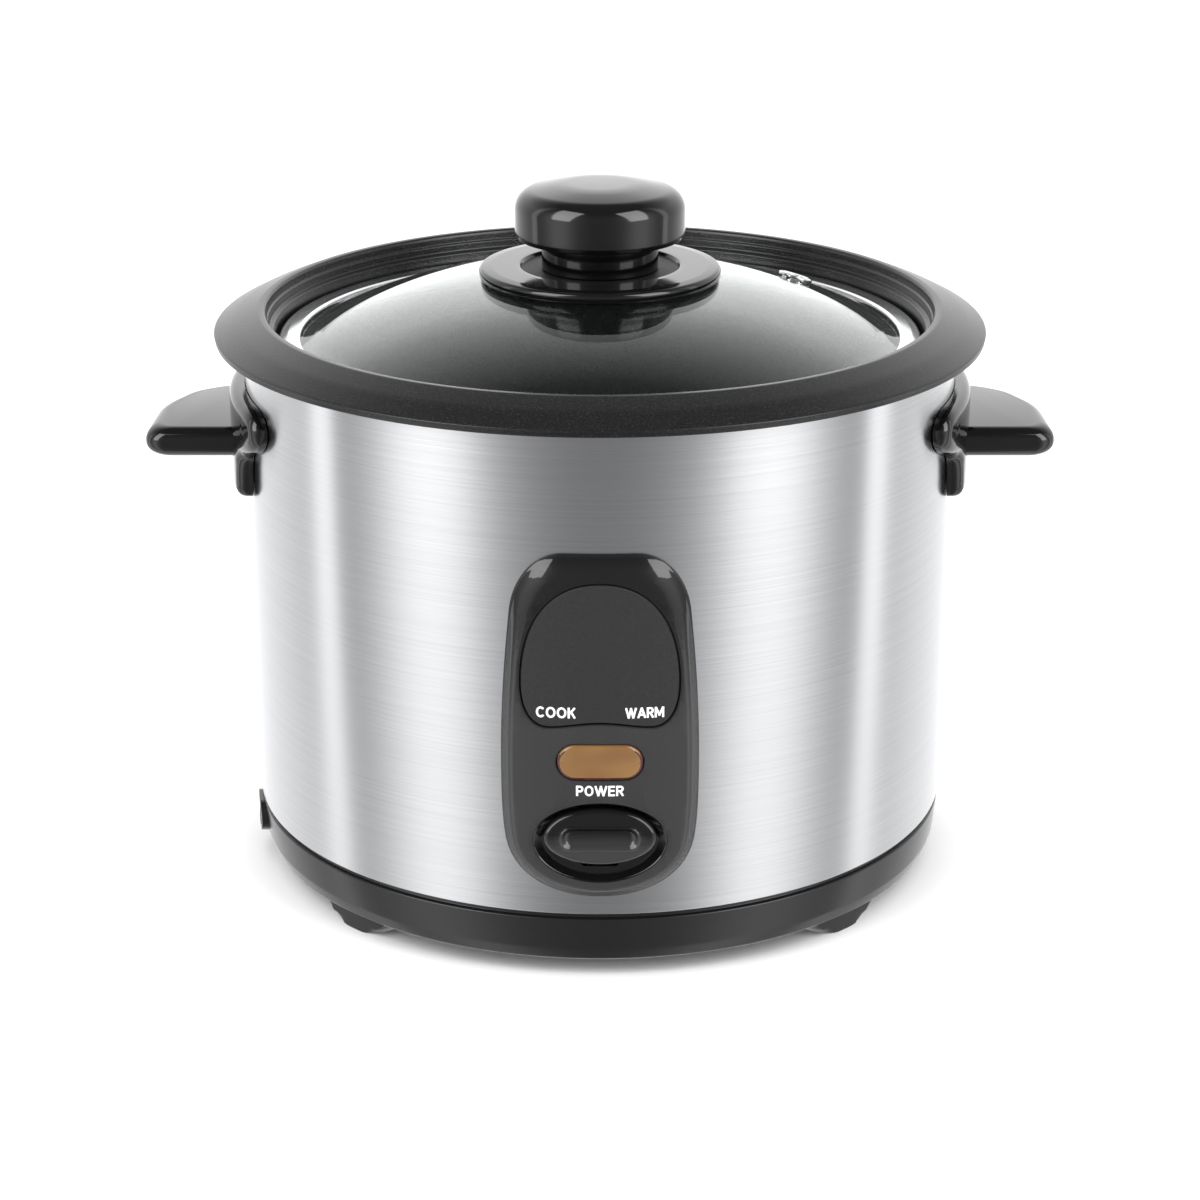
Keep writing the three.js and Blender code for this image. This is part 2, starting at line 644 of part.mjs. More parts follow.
// Moves a piece made round the Z axis onto the glass at the vent, square to the dome.
function ventPlaced(geometry) {
  const radius = Math.hypot(VENT.x, VENT.y);
  const up = new THREE.Vector3(0, 0, 1);
  const height = domeHeight(radius) - (GLASS.top - GLASS.dome);
  const normal = new THREE.Vector3(VENT.x, VENT.y, height).normalize();
  const turn = new THREE.Quaternion().setFromUnitVectors(up, normal);
  return geometry.applyQuaternion(turn).translate(VENT.x, VENT.y, domeHeight(radius));
}

function ventGrommet() {
  const { r, hole } = VENT;
  const under = -GLASS.thick - GAP - 0.1;
  const over = GAP + 0.1;
  return ventPlaced(turned([
    [hole - 0.8, under - 1.2], [r, under - 1.2], [r, under], [hole + 1, under], [hole + 1, over],
    [r, over], [r, over + 0.6], [r - 0.8, over + 1.3], [hole - 0.8, over + 1.3], [hole - 0.8, under - 1.2],
  ], 20));
}

function knobSkirt() {
  const { r, top, moatR, moat, edge } = SKIRT;
  const hole = 3;
  const under = (radius) => domeHeight(radius) + GAP + 0.1;
  return turned([
    [hole, under(0)], [14, under(14)], [28, under(28)], [r - 0.6, under(r - 0.6)], [r, under(r) + 0.6],
    [r, top - edge], [r - 0.5, top - 0.4], [r - edge, top], [moatR, top], [moatR - 1, moat + 2.2],
    [hole, moat + 2.2], [hole, under(0)],
  ], MID);
}

function knobStem() {
  return ring(3, STEM.r, SKIRT.moat + 2.5, STEM.top, MID);
}

function knobCap() {
  const { r, bottom, side, top } = KNOB;
  const bore = 2.4;
  return turned([
    [bore, bottom], [r - 1.2, bottom], [r, bottom + 1], [r, side], [r - 1.6, side + 2.2], [r - 6, top - 3],
    [14, top - 0.9], [0, top], [0, 215], [bore, 215], [bore, bottom],
  ], MID);
}

function knobWasher() {
  const top = GLASS.top - GLASS.thick - GAP - 0.5;
  return ring(2.6, 10, top - 1.5, top, 20);
}

function knobScrew() {
  const headTop = GLASS.top - GLASS.thick - 2 - 2 * GAP - 0.2;
  const shank = 2;
  return turned([
    [0, headTop - 2.4], [4, headTop - 2.4], [5, headTop - 1.6], [5, headTop], [shank, headTop],
    [shank, 212], [0, 212],
  ], SMALL);
}

// ---- Assembly -----------------------------------------------------------------------------

add('outer_shell', outerShell(), steel);
add('inner_liner', innerLiner(), aluminium);
add('base_cover', baseCover(), blackSatin);
[180, 270, 0, 90].forEach((degrees, i) => {
  add(`foot_${i + 1}`, foot().rotateZ(THREE.MathUtils.degToRad(degrees)), blackSatin);
});
POSTS.angles.forEach((angle, i) => {
  const [x, y] = polar(POSTS.r, angle);
  add(`base_screw_${i + 1}`, baseScrew().translate(x, y, 0), zinc);
  add(`body_post_${i + 1}`, bodyPost().translate(x, y, 0), zinc);
});
add('power_inlet', powerInlet(), blackSatin);
add('inlet_pin_1', inletPin(-1), brass);
add('inlet_pin_2', inletPin(1), brass);

add('handle_right', rightHandle(), blackGloss);
add('handle_left', rightHandle().scale(-1, 1, 1), blackGloss);
handleScrewAngles.forEach((angle, i) => add(`handle_screw_${i + 1}`, handleScrew(angle), zinc));

add('control_panel', controlPanel(), blackGloss);
add('label_plate', labelPlate(), labelGrey);
add('power_lens', powerLens(), amber);
add('neon_lamp_left', neonLamp(-1), amber);
add('neon_lamp_right', neonLamp(1), amber);

add('cook_lever', cookLever(), blackGloss);
add('lever_arm', leverArm(), zinc);
add('lever_pin', leverPin(), zinc);
add('lever_bracket', leverBracket(), zinc);
add('micro_switch', microSwitch(), blackSatin);
add('switch_plunger', switchPlunger(), ceramic);
add('magnet_rod', magnetRod(), ferrite);

add('heating_plate', heatingPlate(), aluminium);
STANDOFFS.angles.forEach((angle, i) => {
  const [x, y] = polar(STANDOFFS.r, angle);
  const standoff = disc(STANDOFFS.radius, LINER.bottom + LINER.sheet + GAP, PLATE.bottom - GAP);
  add(`plate_standoff_${i + 1}`, standoff.translate(x, y, 0), ceramic);
});
[['left', -1], ['right', 1]].forEach(([side, sign]) => {
  const pin = disc(TERMINALS.r, TERMINALS.bottom, PLATE.bottom - GAP);
  add(`heater_terminal_${side}`, pin.translate(sign * TERMINALS.x, TERMINALS.y, 0), brass);
});
add('sensor_cap', sensorCap(), aluminium);
add('sensor_core', sensorCore(), ferrite);
add('sensor_spring', sensorSpring(), zinc);
add('sensor_bracket', sensorBracket(), zinc);

add('terminal_block', terminalBlock(), ceramic);
add('thermal_fuse', thermalFuse(), brass);
Object.entries(leadRoutes).forEach(([name, points]) => add(name, lead(points), wire));

add('inner_pot', innerPot(), nonStick);
add('lid_glass', lidGlass(), glass);
add('lid_rim', lidRim(), polishedSteel);
add('vent_grommet', ventGrommet(), polishedSteel);
add('knob_skirt', knobSkirt(), blackGloss);
add('knob_stem', knobStem(), blackGloss);
add('knob_cap', knobCap(), blackGloss);
add('knob_washer', knobWasher(), zinc);
add('knob_screw', knobScrew(), zinc);

export default cooker;
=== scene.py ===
import math

import bmesh
import bpy
from mathutils import Matrix, Vector
from mathutils.geometry import interpolate_bezier


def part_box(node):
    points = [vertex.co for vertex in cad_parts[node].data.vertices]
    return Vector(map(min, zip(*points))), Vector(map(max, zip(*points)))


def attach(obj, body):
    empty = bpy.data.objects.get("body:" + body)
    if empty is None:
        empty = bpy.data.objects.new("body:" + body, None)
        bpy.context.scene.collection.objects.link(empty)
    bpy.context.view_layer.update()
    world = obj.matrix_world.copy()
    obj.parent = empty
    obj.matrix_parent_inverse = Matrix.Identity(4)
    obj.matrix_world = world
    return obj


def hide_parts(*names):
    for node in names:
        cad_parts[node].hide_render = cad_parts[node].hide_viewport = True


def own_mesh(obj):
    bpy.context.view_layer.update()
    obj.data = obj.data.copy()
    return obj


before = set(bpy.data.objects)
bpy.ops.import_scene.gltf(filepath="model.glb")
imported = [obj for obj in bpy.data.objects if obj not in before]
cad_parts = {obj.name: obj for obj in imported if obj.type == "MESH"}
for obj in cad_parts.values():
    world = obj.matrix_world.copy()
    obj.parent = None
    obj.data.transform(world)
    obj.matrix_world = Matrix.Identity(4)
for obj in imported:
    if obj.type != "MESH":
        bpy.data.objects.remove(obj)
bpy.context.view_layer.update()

# Drum rice cooker. Sizes below are in millimetres; MM turns them to metres. Front is -Y, up is +Z.
MM = 0.001

# Driving sizes, read off the frame where a node gives them.
DRUM_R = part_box("outer_shell")[1].x / MM
DRUM_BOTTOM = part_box("outer_shell")[0].z / MM
DRUM_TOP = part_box("outer_shell")[1].z / MM
RIM_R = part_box("inner_pot")[1].x / MM
CREST_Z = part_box("inner_pot")[1].z / MM
POT_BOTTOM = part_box("inner_pot")[0].z / MM
PLATE_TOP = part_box("heating_plate")[1].z / MM
KNOB_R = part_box("knob_cap")[1].x / MM
KNOB_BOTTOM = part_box("knob_cap")[0].z / MM
KNOB_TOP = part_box("knob_cap")[1].z / MM
SKIRT_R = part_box("knob_skirt")[1].x / MM
SKIRT_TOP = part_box("knob_skirt")[1].z / MM
LID_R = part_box("lid_rim")[1].x / MM
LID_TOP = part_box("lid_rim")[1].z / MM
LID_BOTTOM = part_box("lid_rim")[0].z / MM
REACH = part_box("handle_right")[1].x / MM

PANEL_BACK = DRUM_R + 0.3
PANEL_FACE = DRUM_R + 3.8
DOME_R = 222.8          # radius of the sphere that the glass dome is part of
DOME_TOP = 197.6
GLASS_THICK = 3.4
FOOT_OFFSET = 72.7      # each foot's centre, along X and along Y


# ---- Outlines -----------------------------------------------------------------------------

def rounded(corners, closed=True, steps=6):
    """An outline from (x, y, radius) corners, each corner drawn as an arc of that radius."""
    points = []
    count = len(corners)
    for i, (x, y, radius) in enumerate(corners):
        here = Vector((x, y))
        ends = not closed and i in (0, count - 1)
        if not radius or ends:
            points.append(here)
            continue
        before = Vector(corners[i - 1][:2]) - here
        after = Vector(corners[(i + 1) % count][:2]) - here
        half = before.angle(after) / 2
        centre = here + (before.normalized() + after.normalized()).normalized() * radius / math.sin(half)
        start = here + before.normalized() * radius / math.tan(half) - centre
        end = here + after.normalized() * radius / math.tan(half) - centre
        sweep = start.angle_signed(end)
        for k in range(steps + 1):
            turn = -sweep * k / steps
            spoke = start.copy()
            spoke.rotate(Matrix.Rotation(turn, 2))
            points.append(centre + spoke)
    return points


def ellipse(half_x, half_z, z, count=64):
    return [
        Vector((half_x * math.cos(a), z + half_z * math.sin(a)))
        for a in (2 * math.pi * k / count for k in range(count))
    ]


def stadium(half_x, half_z, z, steps=12):
    corners = [
        (half_x, z - half_z, half_z * 0.999),
        (half_x, z + half_z, half_z * 0.999),
        (-half_x, z + half_z, half_z * 0.999),
        (-half_x, z - half_z, half_z * 0.999),
    ]
    return rounded(corners, steps=steps)


def rectangle(x0, z0, x1, z1, radius):
    return rounded([(x0, z0, radius), (x1, z0, radius), (x1, z1, radius), (x0, z1, radius)])


def curved(right_side, steps=8):
    """A left-right symmetrical outline from the Bezier arcs of its right half, listed bottom to top."""
    right = []
    for knots in right_side:
        arc = interpolate_bezier(*(Vector((x, z, 0)) for x, z in knots), steps + 1)
        right += [p.to_2d() for p in arc[:-1]]
    right.append(Vector(right_side[-1][3]))
    left = [Vector((-p.x, p.y)) for p in reversed(right[1:-1])]
    top = [] if right[-1].x < 0.01 else [Vector((-right[-1].x, right[-1].y))]
    return right + top + left


def inset(outline, distance):
    """The outline moved inwards, point for point, by one distance or by a list of them."""
    distances = distance if isinstance(distance, list) else [distance] * len(outline)
    area = sum(a.cross(b) for a, b in zip(outline, outline[1:] + outline[:1]))
    side = 1 if area > 0 else -1
    moved = []
    for before, here, after, step in zip(
        outline[-1:] + outline[:-1], outline, outline[1:] + outline[:1], distances
    ):
        along = (after - before).normalized()
        moved.append(here + side * step * Vector((-along.y, along.x)))
    return moved


# ---- Mesh building ------------------------------------------------------------------------

def place(name, data):
    """A new object in the scene."""
    thing = bpy.data.objects.new(name, data)
    bpy.context.scene.collection.objects.link(thing)
    return thing


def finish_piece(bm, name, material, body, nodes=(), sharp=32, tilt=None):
    """Turns a bmesh into a finished piece: normals out, smooth but for sharp edges, riding on its body."""
    bmesh.ops.remove_doubles(bm, verts=bm.verts, dist=1e-6)
    bmesh.ops.recalc_face_normals(bm, faces=bm.faces)
    if tilt is not None:
        bmesh.ops.transform(bm, matrix=tilt, verts=bm.verts)
    mesh = bpy.data.meshes.new(name)
    bm.to_mesh(mesh)
    bm.free()
    mesh.shade_smooth()
    mesh.set_sharp_from_angle(angle=math.radians(sharp))
    mesh.materials.append(material)
    piece = place(name, mesh)
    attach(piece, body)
    if nodes:
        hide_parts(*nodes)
    return piece


def cut_away(piece, bm):
    """Cuts the solid in bm out of a piece, and marks the edges that this makes as sharp."""
    mesh = bpy.data.meshes.new("cutter")
    bmesh.ops.recalc_face_normals(bm, faces=bm.faces)
    bm.to_mesh(mesh)
    bm.free()
    tool = place("cutter", mesh)
    cut = piece.modifiers.new("cut", "BOOLEAN")
    cut.object = tool
    cut.solver = "EXACT"
    bpy.context.view_layer.update()
    result = bpy.data.meshes.new_from_object(piece.evaluated_get(bpy.context.evaluated_depsgraph_get()))
    result.set_sharp_from_angle(angle=math.radians(35))
    piece.modifiers.clear()
    piece.data = result
    bpy.data.objects.remove(tool)


def turned(profile, steps=128, ring=False):
    """A bmesh spun round the Z axis from a profile of (radius, height) points."""
    bm = bmesh.new()
    verts = [bm.verts.new((max(r, 0) * MM, 0, z * MM)) for r, z in profile]
    edges = [bm.edges.new(pair) for pair in zip(verts, verts[1:])]
    if ring:
        edges.append(bm.edges.new((verts[-1], verts[0])))
    bmesh.ops.spin(
        bm, geom=verts + edges, cent=(0, 0, 0), axis=(0, 0, 1), angle=2 * math.pi, steps=steps, use_merge=True
    )
    bmesh.ops.remove_doubles(bm, verts=bm.verts, dist=1e-7)
    return bm


def add_loop(bm, outline, depth):
    """A ring of edges in the X-Z plane at a depth in front of the axis."""
    verts = [bm.verts.new((p.x * MM, -depth * MM, p.y * MM)) for p in outline]
    return [bm.edges.new(pair) for pair in zip(verts, verts[1:] + verts[:1])]


def add_wall(bm, rings):
    """Skins a run of rings and returns the edges of the first and the last."""
    loops = [add_loop(bm, outline, depth) for outline, depth in rings]
    for a, b in zip(loops, loops[1:]):
        bmesh.ops.bridge_loops(bm, edges=a + b)
    return loops[0], loops[-1]


def fill(bm, *loops):
    """A flat face between an outer ring and any holes in it."""
    bmesh.ops.triangle_fill(bm, use_beauty=True, edges=[e for loop in loops for e in loop])


def slice_through(bm, point, normal):
    """Cuts every face that a plane crosses in two along the plane."""
    geom = bm.verts[:] + bm.edges[:] + bm.faces[:]
    bmesh.ops.bisect_plane(bm, geom=geom, dist=1e-7, plane_co=point, plane_no=normal)


def wrap(bm, spacing=2.0):
    """Bends what was drawn flat round the drum, after cutting it into narrow upright strips."""
    reach = max(abs(v.co.x) for v in bm.verts)
    strips = int(reach / (spacing * MM))
    for k in range(-strips, strips + 1):
        slice_through(bm, (k * spacing * MM, 0, 0), (1, 0, 0))
    for v in bm.verts:
        angle = math.asin(v.co.x / (PANEL_FACE * MM))
        radius = -v.co.y
        v.co.x = radius * math.sin(angle)
        v.co.y = -radius * math.cos(angle)


def dome_height(radius, drop=0.0):
    return DOME_TOP - drop - (DOME_R - math.sqrt(DOME_R**2 - radius**2))


# ---- Materials ----------------------------------------------------------------------------

def linear(hex_colour):
    """An sRGB hex colour as linear RGBA."""
    values = [int(hex_colour[i:i + 2], 16) / 255 for i in (1, 3, 5)]
    return tuple(v / 12.92 if v <= 0.04045 else ((v + 0.055) / 1.055) ** 2.4 for v in values) + (1.0,)


def add(tree, kind, inputs=None, **settings):
    """Adds one node, with its settings, and fills or links its inputs."""
    made = tree.nodes.new(kind)
    for key, value in settings.items():
        setattr(made, key, value)
    for socket, value in (inputs or {}).items():
        if isinstance(value, bpy.types.NodeSocket):
            tree.links.new(value, made.inputs[socket])
        else:
            made.inputs[socket].default_value = value
    return made


def surface(name, hex_colour, roughness, **more):
    """A material with one Principled shader; returns it with its tree and shader."""
    material = bpy.data.materials.new(name)
    material.use_nodes = True
    tree = material.node_tree
    shader = tree.nodes["Principled BSDF"]
    shader.inputs["Base Color"].default_value = linear(hex_colour)
    shader.inputs["Roughness"].default_value = roughness
    for socket, value in more.items():
        shader.inputs[socket.replace("_", " ")].default_value = value
    return material, tree, shader


def stretched(tree, scale):
    """Object coordinates scaled per axis, in features per metre."""
    coordinates = add(tree, "ShaderNodeTexCoord")
    mapped = add(tree, "ShaderNodeMapping", {"Vector": coordinates.outputs["Object"], "Scale": scale})
    return mapped.outputs["Vector"]


def by_height(tree, low, high):
    """A pattern that runs from 0 at one height to 1 at another."""
    coordinates = add(tree, "ShaderNodeTexCoord")
    height = add(tree, "ShaderNodeSeparateXYZ", {"Vector": coordinates.outputs["Object"]}).outputs["Z"]
    inputs = {"Value": height, "From Min": low * MM, "From Max": high * MM}
    return add(tree, "ShaderNodeMapRange", inputs).outputs["Result"]


def vary(tree, shader, pattern, socket, low, high):
    """Drives a number on the shader between two values by a pattern."""
    ramp = add(tree, "ShaderNodeMapRange", {"Value": pattern, "To Min": low, "To Max": high})
    tree.links.new(ramp.outputs["Result"], shader.inputs[socket])


def tint(tree, shader, pattern, dark, light, low=0.35, high=0.65):
    """Blends the base colour between two hex colours by a pattern."""
    ramp = add(tree, "ShaderNodeValToRGB", {"Fac": pattern})
    ramp.color_ramp.elements[0].position = low
    ramp.color_ramp.elements[1].position = high
    ramp.color_ramp.elements[0].color = linear(dark)
    ramp.color_ramp.elements[1].color = linear(light)
    tree.links.new(ramp.outputs["Color"], shader.inputs["Base Color"])


def emboss(tree, shader, height, distance_mm, strength=1.0):
    inputs = {"Height": height, "Distance": distance_mm * MM, "Strength": strength}
    bump = add(tree, "ShaderNodeBump", inputs)
    tree.links.new(bump.outputs["Normal"], shader.inputs["Normal"])


def noise(tree, scale, detail=3.0, rough=0.6):
    inputs = {"Vector": stretched(tree, scale), "Scale": 1.0, "Detail": detail, "Roughness": rough}
    return add(tree, "ShaderNodeTexNoise", inputs).outputs["Fac"]


def grained(made, size, detail, dark, light, bump_mm=0.0, strength=0.0):
    """Gives a surface a fine even grain of two colours, raised by bump_mm where that is given."""
    material, tree, shader = made
    grain = noise(tree, (size, size, size), detail)
    tint(tree, shader, grain, dark, light)
    if bump_mm:
        emboss(tree, shader, grain, bump_mm, strength)
    return material


def brushed_stainless():
    # Stainless sheet, belt-brushed round the drum: reflections smear up and down into soft upright bands.
    # Real grit lines are about 0.1 mm apart; they are drawn about 0.5 mm apart so that they show.
    material, tree, shader = surface("brushed_stainless", "#c9cacc", 0.24, Metallic=1.0, Anisotropic=0.86)
    shader.inputs["Anisotropic Rotation"].default_value = 0.25
    tangent = add(tree, "ShaderNodeTangent", direction_type="RADIAL", axis="Z")
    tree.links.new(tangent.outputs["Tangent"], shader.inputs["Tangent"])
    grain = noise(tree, (11, 11, 2600), 4.0, 0.7)
    tint(tree, shader, grain, "#c4c5c7", "#cecfd1", 0.3, 0.7)
    vary(tree, shader, grain, "Roughness", 0.21, 0.29)
    emboss(tree, shader, grain, 0.002, 0.3)
    return material


def polished_stainless():
    # Thin stainless strip, rolled and buffed: near mirror with faint rolling marks along the band.
    material, tree, shader = surface("polished_stainless", "#dcdddf", 0.12, Metallic=1.0)
    marks = noise(tree, (40, 40, 900), 3.0)
    vary(tree, shader, marks, "Roughness", 0.07, 0.18)
    return material


def zinc_plate():
    # Zinc-plated steel pressings: cool grey with cloudy patches from the bath.
    material, tree, shader = surface("zinc_plate", "#b4b5b3", 0.4, Metallic=1.0)
    cloud = noise(tree, (130, 130, 130), 4.0)
    tint(tree, shader, cloud, "#9c9d9b", "#c6c7c4")
    vary(tree, shader, cloud, "Roughness", 0.3, 0.5)
    return material


def spun_aluminium():
    # Cast or spun aluminium, turned on a lathe: fine rings round the axis that soften the shine.
    material, tree, shader = surface("spun_aluminium", "#c3c5c7", 0.35, Metallic=1.0)
    coordinates = add(tree, "ShaderNodeTexCoord")
    rings = add(
        tree, "ShaderNodeTexWave",
        {"Vector": coordinates.outputs["Object"], "Scale": 420.0, "Distortion": 0.6, "Detail": 2.0},
        wave_type="RINGS", rings_direction="Z",
    )
    vary(tree, shader, rings.outputs["Fac"], "Roughness", 0.28, 0.45)
    emboss(tree, shader, rings.outputs["Fac"], 0.02, 0.4)
    return material


def non_stick():
    # Sprayed non-stick coat on aluminium: satin charcoal with fine pale mineral specks, about 0.3 mm grain.
    material, tree, shader = surface("non_stick", "#161617", 0.27, Specular_IOR_Level=0.5)
    specks = noise(tree, (2100, 2100, 2100), 2.0, 0.5)
    tint(tree, shader, specks, "#101011", "#38383b", 0.58, 0.82)
    vary(tree, shader, specks, "Roughness", 0.22, 0.36)
    emboss(tree, shader, noise(tree, (1300, 1300, 1300), 2.0), 0.03, 0.35)
    return material


def gloss_phenolic():
    # Compression-moulded black phenolic, polished tool: deep gloss with a very slight waviness.
    material, tree, shader = surface("gloss_phenolic", "#0c0c0d", 0.09, IOR=1.55)
    wave = noise(tree, (90, 90, 90), 2.0)
    vary(tree, shader, wave, "Roughness", 0.06, 0.13)
    emboss(tree, shader, wave, 0.03, 0.12)
    return material


def panel_gloss():
    # Injection-moulded ABS: polished black round the label, a finer-textured and greyer satin lower down.
    material, tree, shader = surface("panel_gloss", "#19191a", 0.12, IOR=1.52)
    polish = by_height(tree, 84, 122)
    tint(tree, shader, polish, "#303031", "#121213", 0.0, 1.0)
    vary(tree, shader, polish, "Roughness", 0.24, 0.05)
    emboss(tree, shader, noise(tree, (900, 900, 900), 2.0), 0.004, 0.15)
    return material


def lever_gloss():
    # The same ABS as the panel, polished all over, with its lower half painted a greyer black: a painted
    # reflection of the pale floor that the lower half faces.
    material, tree, shader = surface("lever_gloss", "#262627", 0.08, IOR=1.52)
    # Painted reflection: greyer below 47 mm, near black above 52 mm.
    tint(tree, shader, by_height(tree, 47, 52), "#333334", "#0d0d0e", 0.0, 1.0)
    vary(tree, shader, noise(tree, (300, 300, 300), 2.0), "Roughness", 0.05, 0.12)
    return material


def satin_base():
    # Injection-moulded polypropylene, faint spark-eroded texture: black, with a soft low gloss.
    material, tree, shader = surface("satin_base", "#161617", 0.24, IOR=1.49)
    grit = noise(tree, (1500, 1500, 1500), 2.0)
    vary(tree, shader, grit, "Roughness", 0.19, 0.3)
    emboss(tree, shader, grit, 0.01, 0.25)
    return material


def label_film():
    # Screen-printed polycarbonate film, matte face: dark warm grey with a faint paper-like tooth.
    film = surface("label_film", "#211f1f", 0.55, IOR=1.5)
    return grained(film, 1700, 2.0, "#1e1c1c", "#262424", 0.015, 0.3)


def white_print():
    # Screen-printed white ink, slightly thin over the dark film.
    material, tree, shader = surface("white_print", "#f2f2f0", 0.5)
    cover = noise(tree, (2500, 2500, 2500), 2.0)
    tint(tree, shader, cover, "#dededb", "#f8f8f6", 0.2, 0.5)
    return material


def amber_polycarbonate():
    # Smoked amber polycarbonate lens over a dark lamp chamber: brown-orange body, darker at its edge.
    material, tree, shader = surface("amber_polycarbonate", "#7c5838", 0.16, IOR=1.58, Coat_Weight=0.4)
    shader.inputs["Coat Roughness"].default_value = 0.06
    glow = noise(tree, (60, 60, 90), 1.0)
    tint(tree, shader, glow, "#70502f", "#8a6a3c", 0.35, 0.7)
    # Painted glow: a faint emission lightens the lens, though the lamp behind it is not lit.
    shader.inputs["Emission Color"].default_value = linear("#8c5a2c")
    shader.inputs["Emission Strength"].default_value = 0.08
    return material


def shaded_lens_edge():
    # The lens's own wall seen edge on: painted shade, a deep red-brown for the shadowed gap round the lens
    # and for the light that dies in its wall.
    return grained(surface("shaded_lens_edge", "#3d140c", 0.25, IOR=1.58), 300, 2.0, "#2c0d08", "#4d1a0f")


def open_to(tree, shader, rays, colour=(1, 1, 1, 1)):
    """Lets some rays pass a surface as if it were a plain tinted gap."""
    gap = add(tree, "ShaderNodeBsdfTransparent", {"Color": colour})
    inputs = {0: rays, 1: shader.outputs["BSDF"], 2: gap.outputs["BSDF"]}
    mix = add(tree, "ShaderNodeMixShader", inputs)
    tree.links.new(mix.outputs["Shader"], tree.nodes["Material Output"].inputs["Surface"])


def tempered_glass():
    # Tempered soda-lime glass, 3.4 mm: clear with a green cast at its edge and a faint roller wave.
    material, tree, shader = surface("tempered_glass", "#f4faf8", 0.0, IOR=1.5, Transmission_Weight=1.0)
    wave = noise(tree, (28, 28, 28), 1.0)
    emboss(tree, shader, wave, 0.05, 0.1)
    # The renderer's glass stops lamps, so their rays pass a tinted gap instead.
    path = add(tree, "ShaderNodeLightPath")
    open_to(tree, shader, path.outputs["Is Shadow Ray"], linear("#e8f0ed"))
    return material


def silicone():
    # Moulded grey silicone: rubbery, almost no gloss.
    return grained(surface("silicone", "#8c8c8a", 0.6), 900, 2.0, "#7e7e7c", "#989896")


def drawn_brass():
    # Drawn brass: warm yellow with tarnish clouds.
    return grained(surface("drawn_brass", "#c09a52", 0.3, Metallic=1.0), 200, 3.0, "#9a7636", "#cfa95f")


def steatite():
    # Fired steatite insulator: chalky off-white.
    return grained(surface("steatite", "#e2ddd0", 0.7), 600, 3.0, "#d5cfc0", "#ebe7dc", 0.03, 0.3)


def glass_sleeve():
    # Braided glass-fibre sleeve: rust red, a 1 mm braid.
    material, tree, shader = surface("glass_sleeve", "#8a2f22", 0.7)
    braid = add(tree, "ShaderNodeTexVoronoi", {"Vector": stretched(tree, (1000, 1000, 1000)), "Scale": 1.0})
    tint(tree, shader, braid.outputs["Distance"], "#6b2118", "#a3402f")
    emboss(tree, shader, braid.outputs["Distance"], 0.15, 0.6)
    return material


def sintered_ferrite():
    # Sintered ferrite: dark grey, granular and dull.
    ferrite = surface("sintered_ferrite", "#3b3b3e", 0.6, Metallic=0.3)
    return grained(ferrite, 1400, 3.0, "#2e2e31", "#4a4a4d", 0.03, 0.4)


def feet_black_and_recess_shade():
    # Dull black moulded plastic, unpolished: the feet's own colour, and painted shade in the depths of seams,
    # in the panel's slot and label groove and in the moat round the knob's stem. Dull.
    material, tree, shader = surface("feet_black_and_recess_shade", "#0a0a0a", 0.5)
    grit = noise(tree, (800, 800, 800), 2.0)
    vary(tree, shader, grit, "Roughness", 0.45, 0.6)
    return material


STEEL = brushed_stainless()
POLISHED = polished_stainless()
ZINC = zinc_plate()
ALUMINIUM = spun_aluminium()
NON_STICK = non_stick()
PHENOLIC = gloss_phenolic()
PANEL = panel_gloss()
LEVER = lever_gloss()
SATIN = satin_base()
LABEL = label_film()
PRINT = white_print()
AMBER = amber_polycarbonate()
SHADED_LENS_EDGE = shaded_lens_edge()
GLASS = tempered_glass()
SILICONE = silicone()
BRASS = drawn_brass()
STEATITE = steatite()
SLEEVE = glass_sleeve()
FERRITE = sintered_ferrite()
DEEP = feet_black_and_recess_shade()


# ---- Camera -------------------------------------------------------------------------------

def make_camera():
    """A 90 mm lens just under a metre away, looking 20 degrees down at the panel."""
    data = bpy.data.cameras.new("camera")
    data.lens = 90
    data.sensor_width = 36
    camera = place("camera", data)
    camera.location = (0, -0.9455, 0.4281)
    camera.rotation_euler = (math.radians(90 - 20.04), 0, 0)
    bpy.context.scene.camera = camera


# ---- Drum, base and feet ------------------------------------------------------------------

def make_drum():
    sheet = 0.8
    lip = DRUM_R - 5.2
    profile = rounded([
        (DRUM_R - 2.5, DRUM_BOTTOM, 0), (DRUM_R, DRUM_BOTTOM, 0.5), (DRUM_R, DRUM_TOP, 2.4),
        (lip, DRUM_TOP, 0.7), (lip, DRUM_TOP - 6, 0), (lip + sheet, DRUM_TOP - 6, 0),
        (lip + sheet, DRUM_TOP - sheet, 0), (DRUM_R - sheet, DRUM_TOP - sheet, 1.6),
        (DRUM_R - sheet, DRUM_BOTTOM + sheet, 0),
        (DRUM_R - 2.5, DRUM_BOTTOM + sheet, 0),
    ])
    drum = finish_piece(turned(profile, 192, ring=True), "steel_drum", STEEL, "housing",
                        ["outer_shell"])
    bm = bmesh.new()
    slot = Matrix.Translation((0, -112 * MM, 44.5 * MM)) @ Matrix.Diagonal((13 * MM, 14 * MM, 17 * MM, 1))
    bmesh.ops.create_cube(bm, size=1, matrix=slot)
    cut_away(drum, bm)


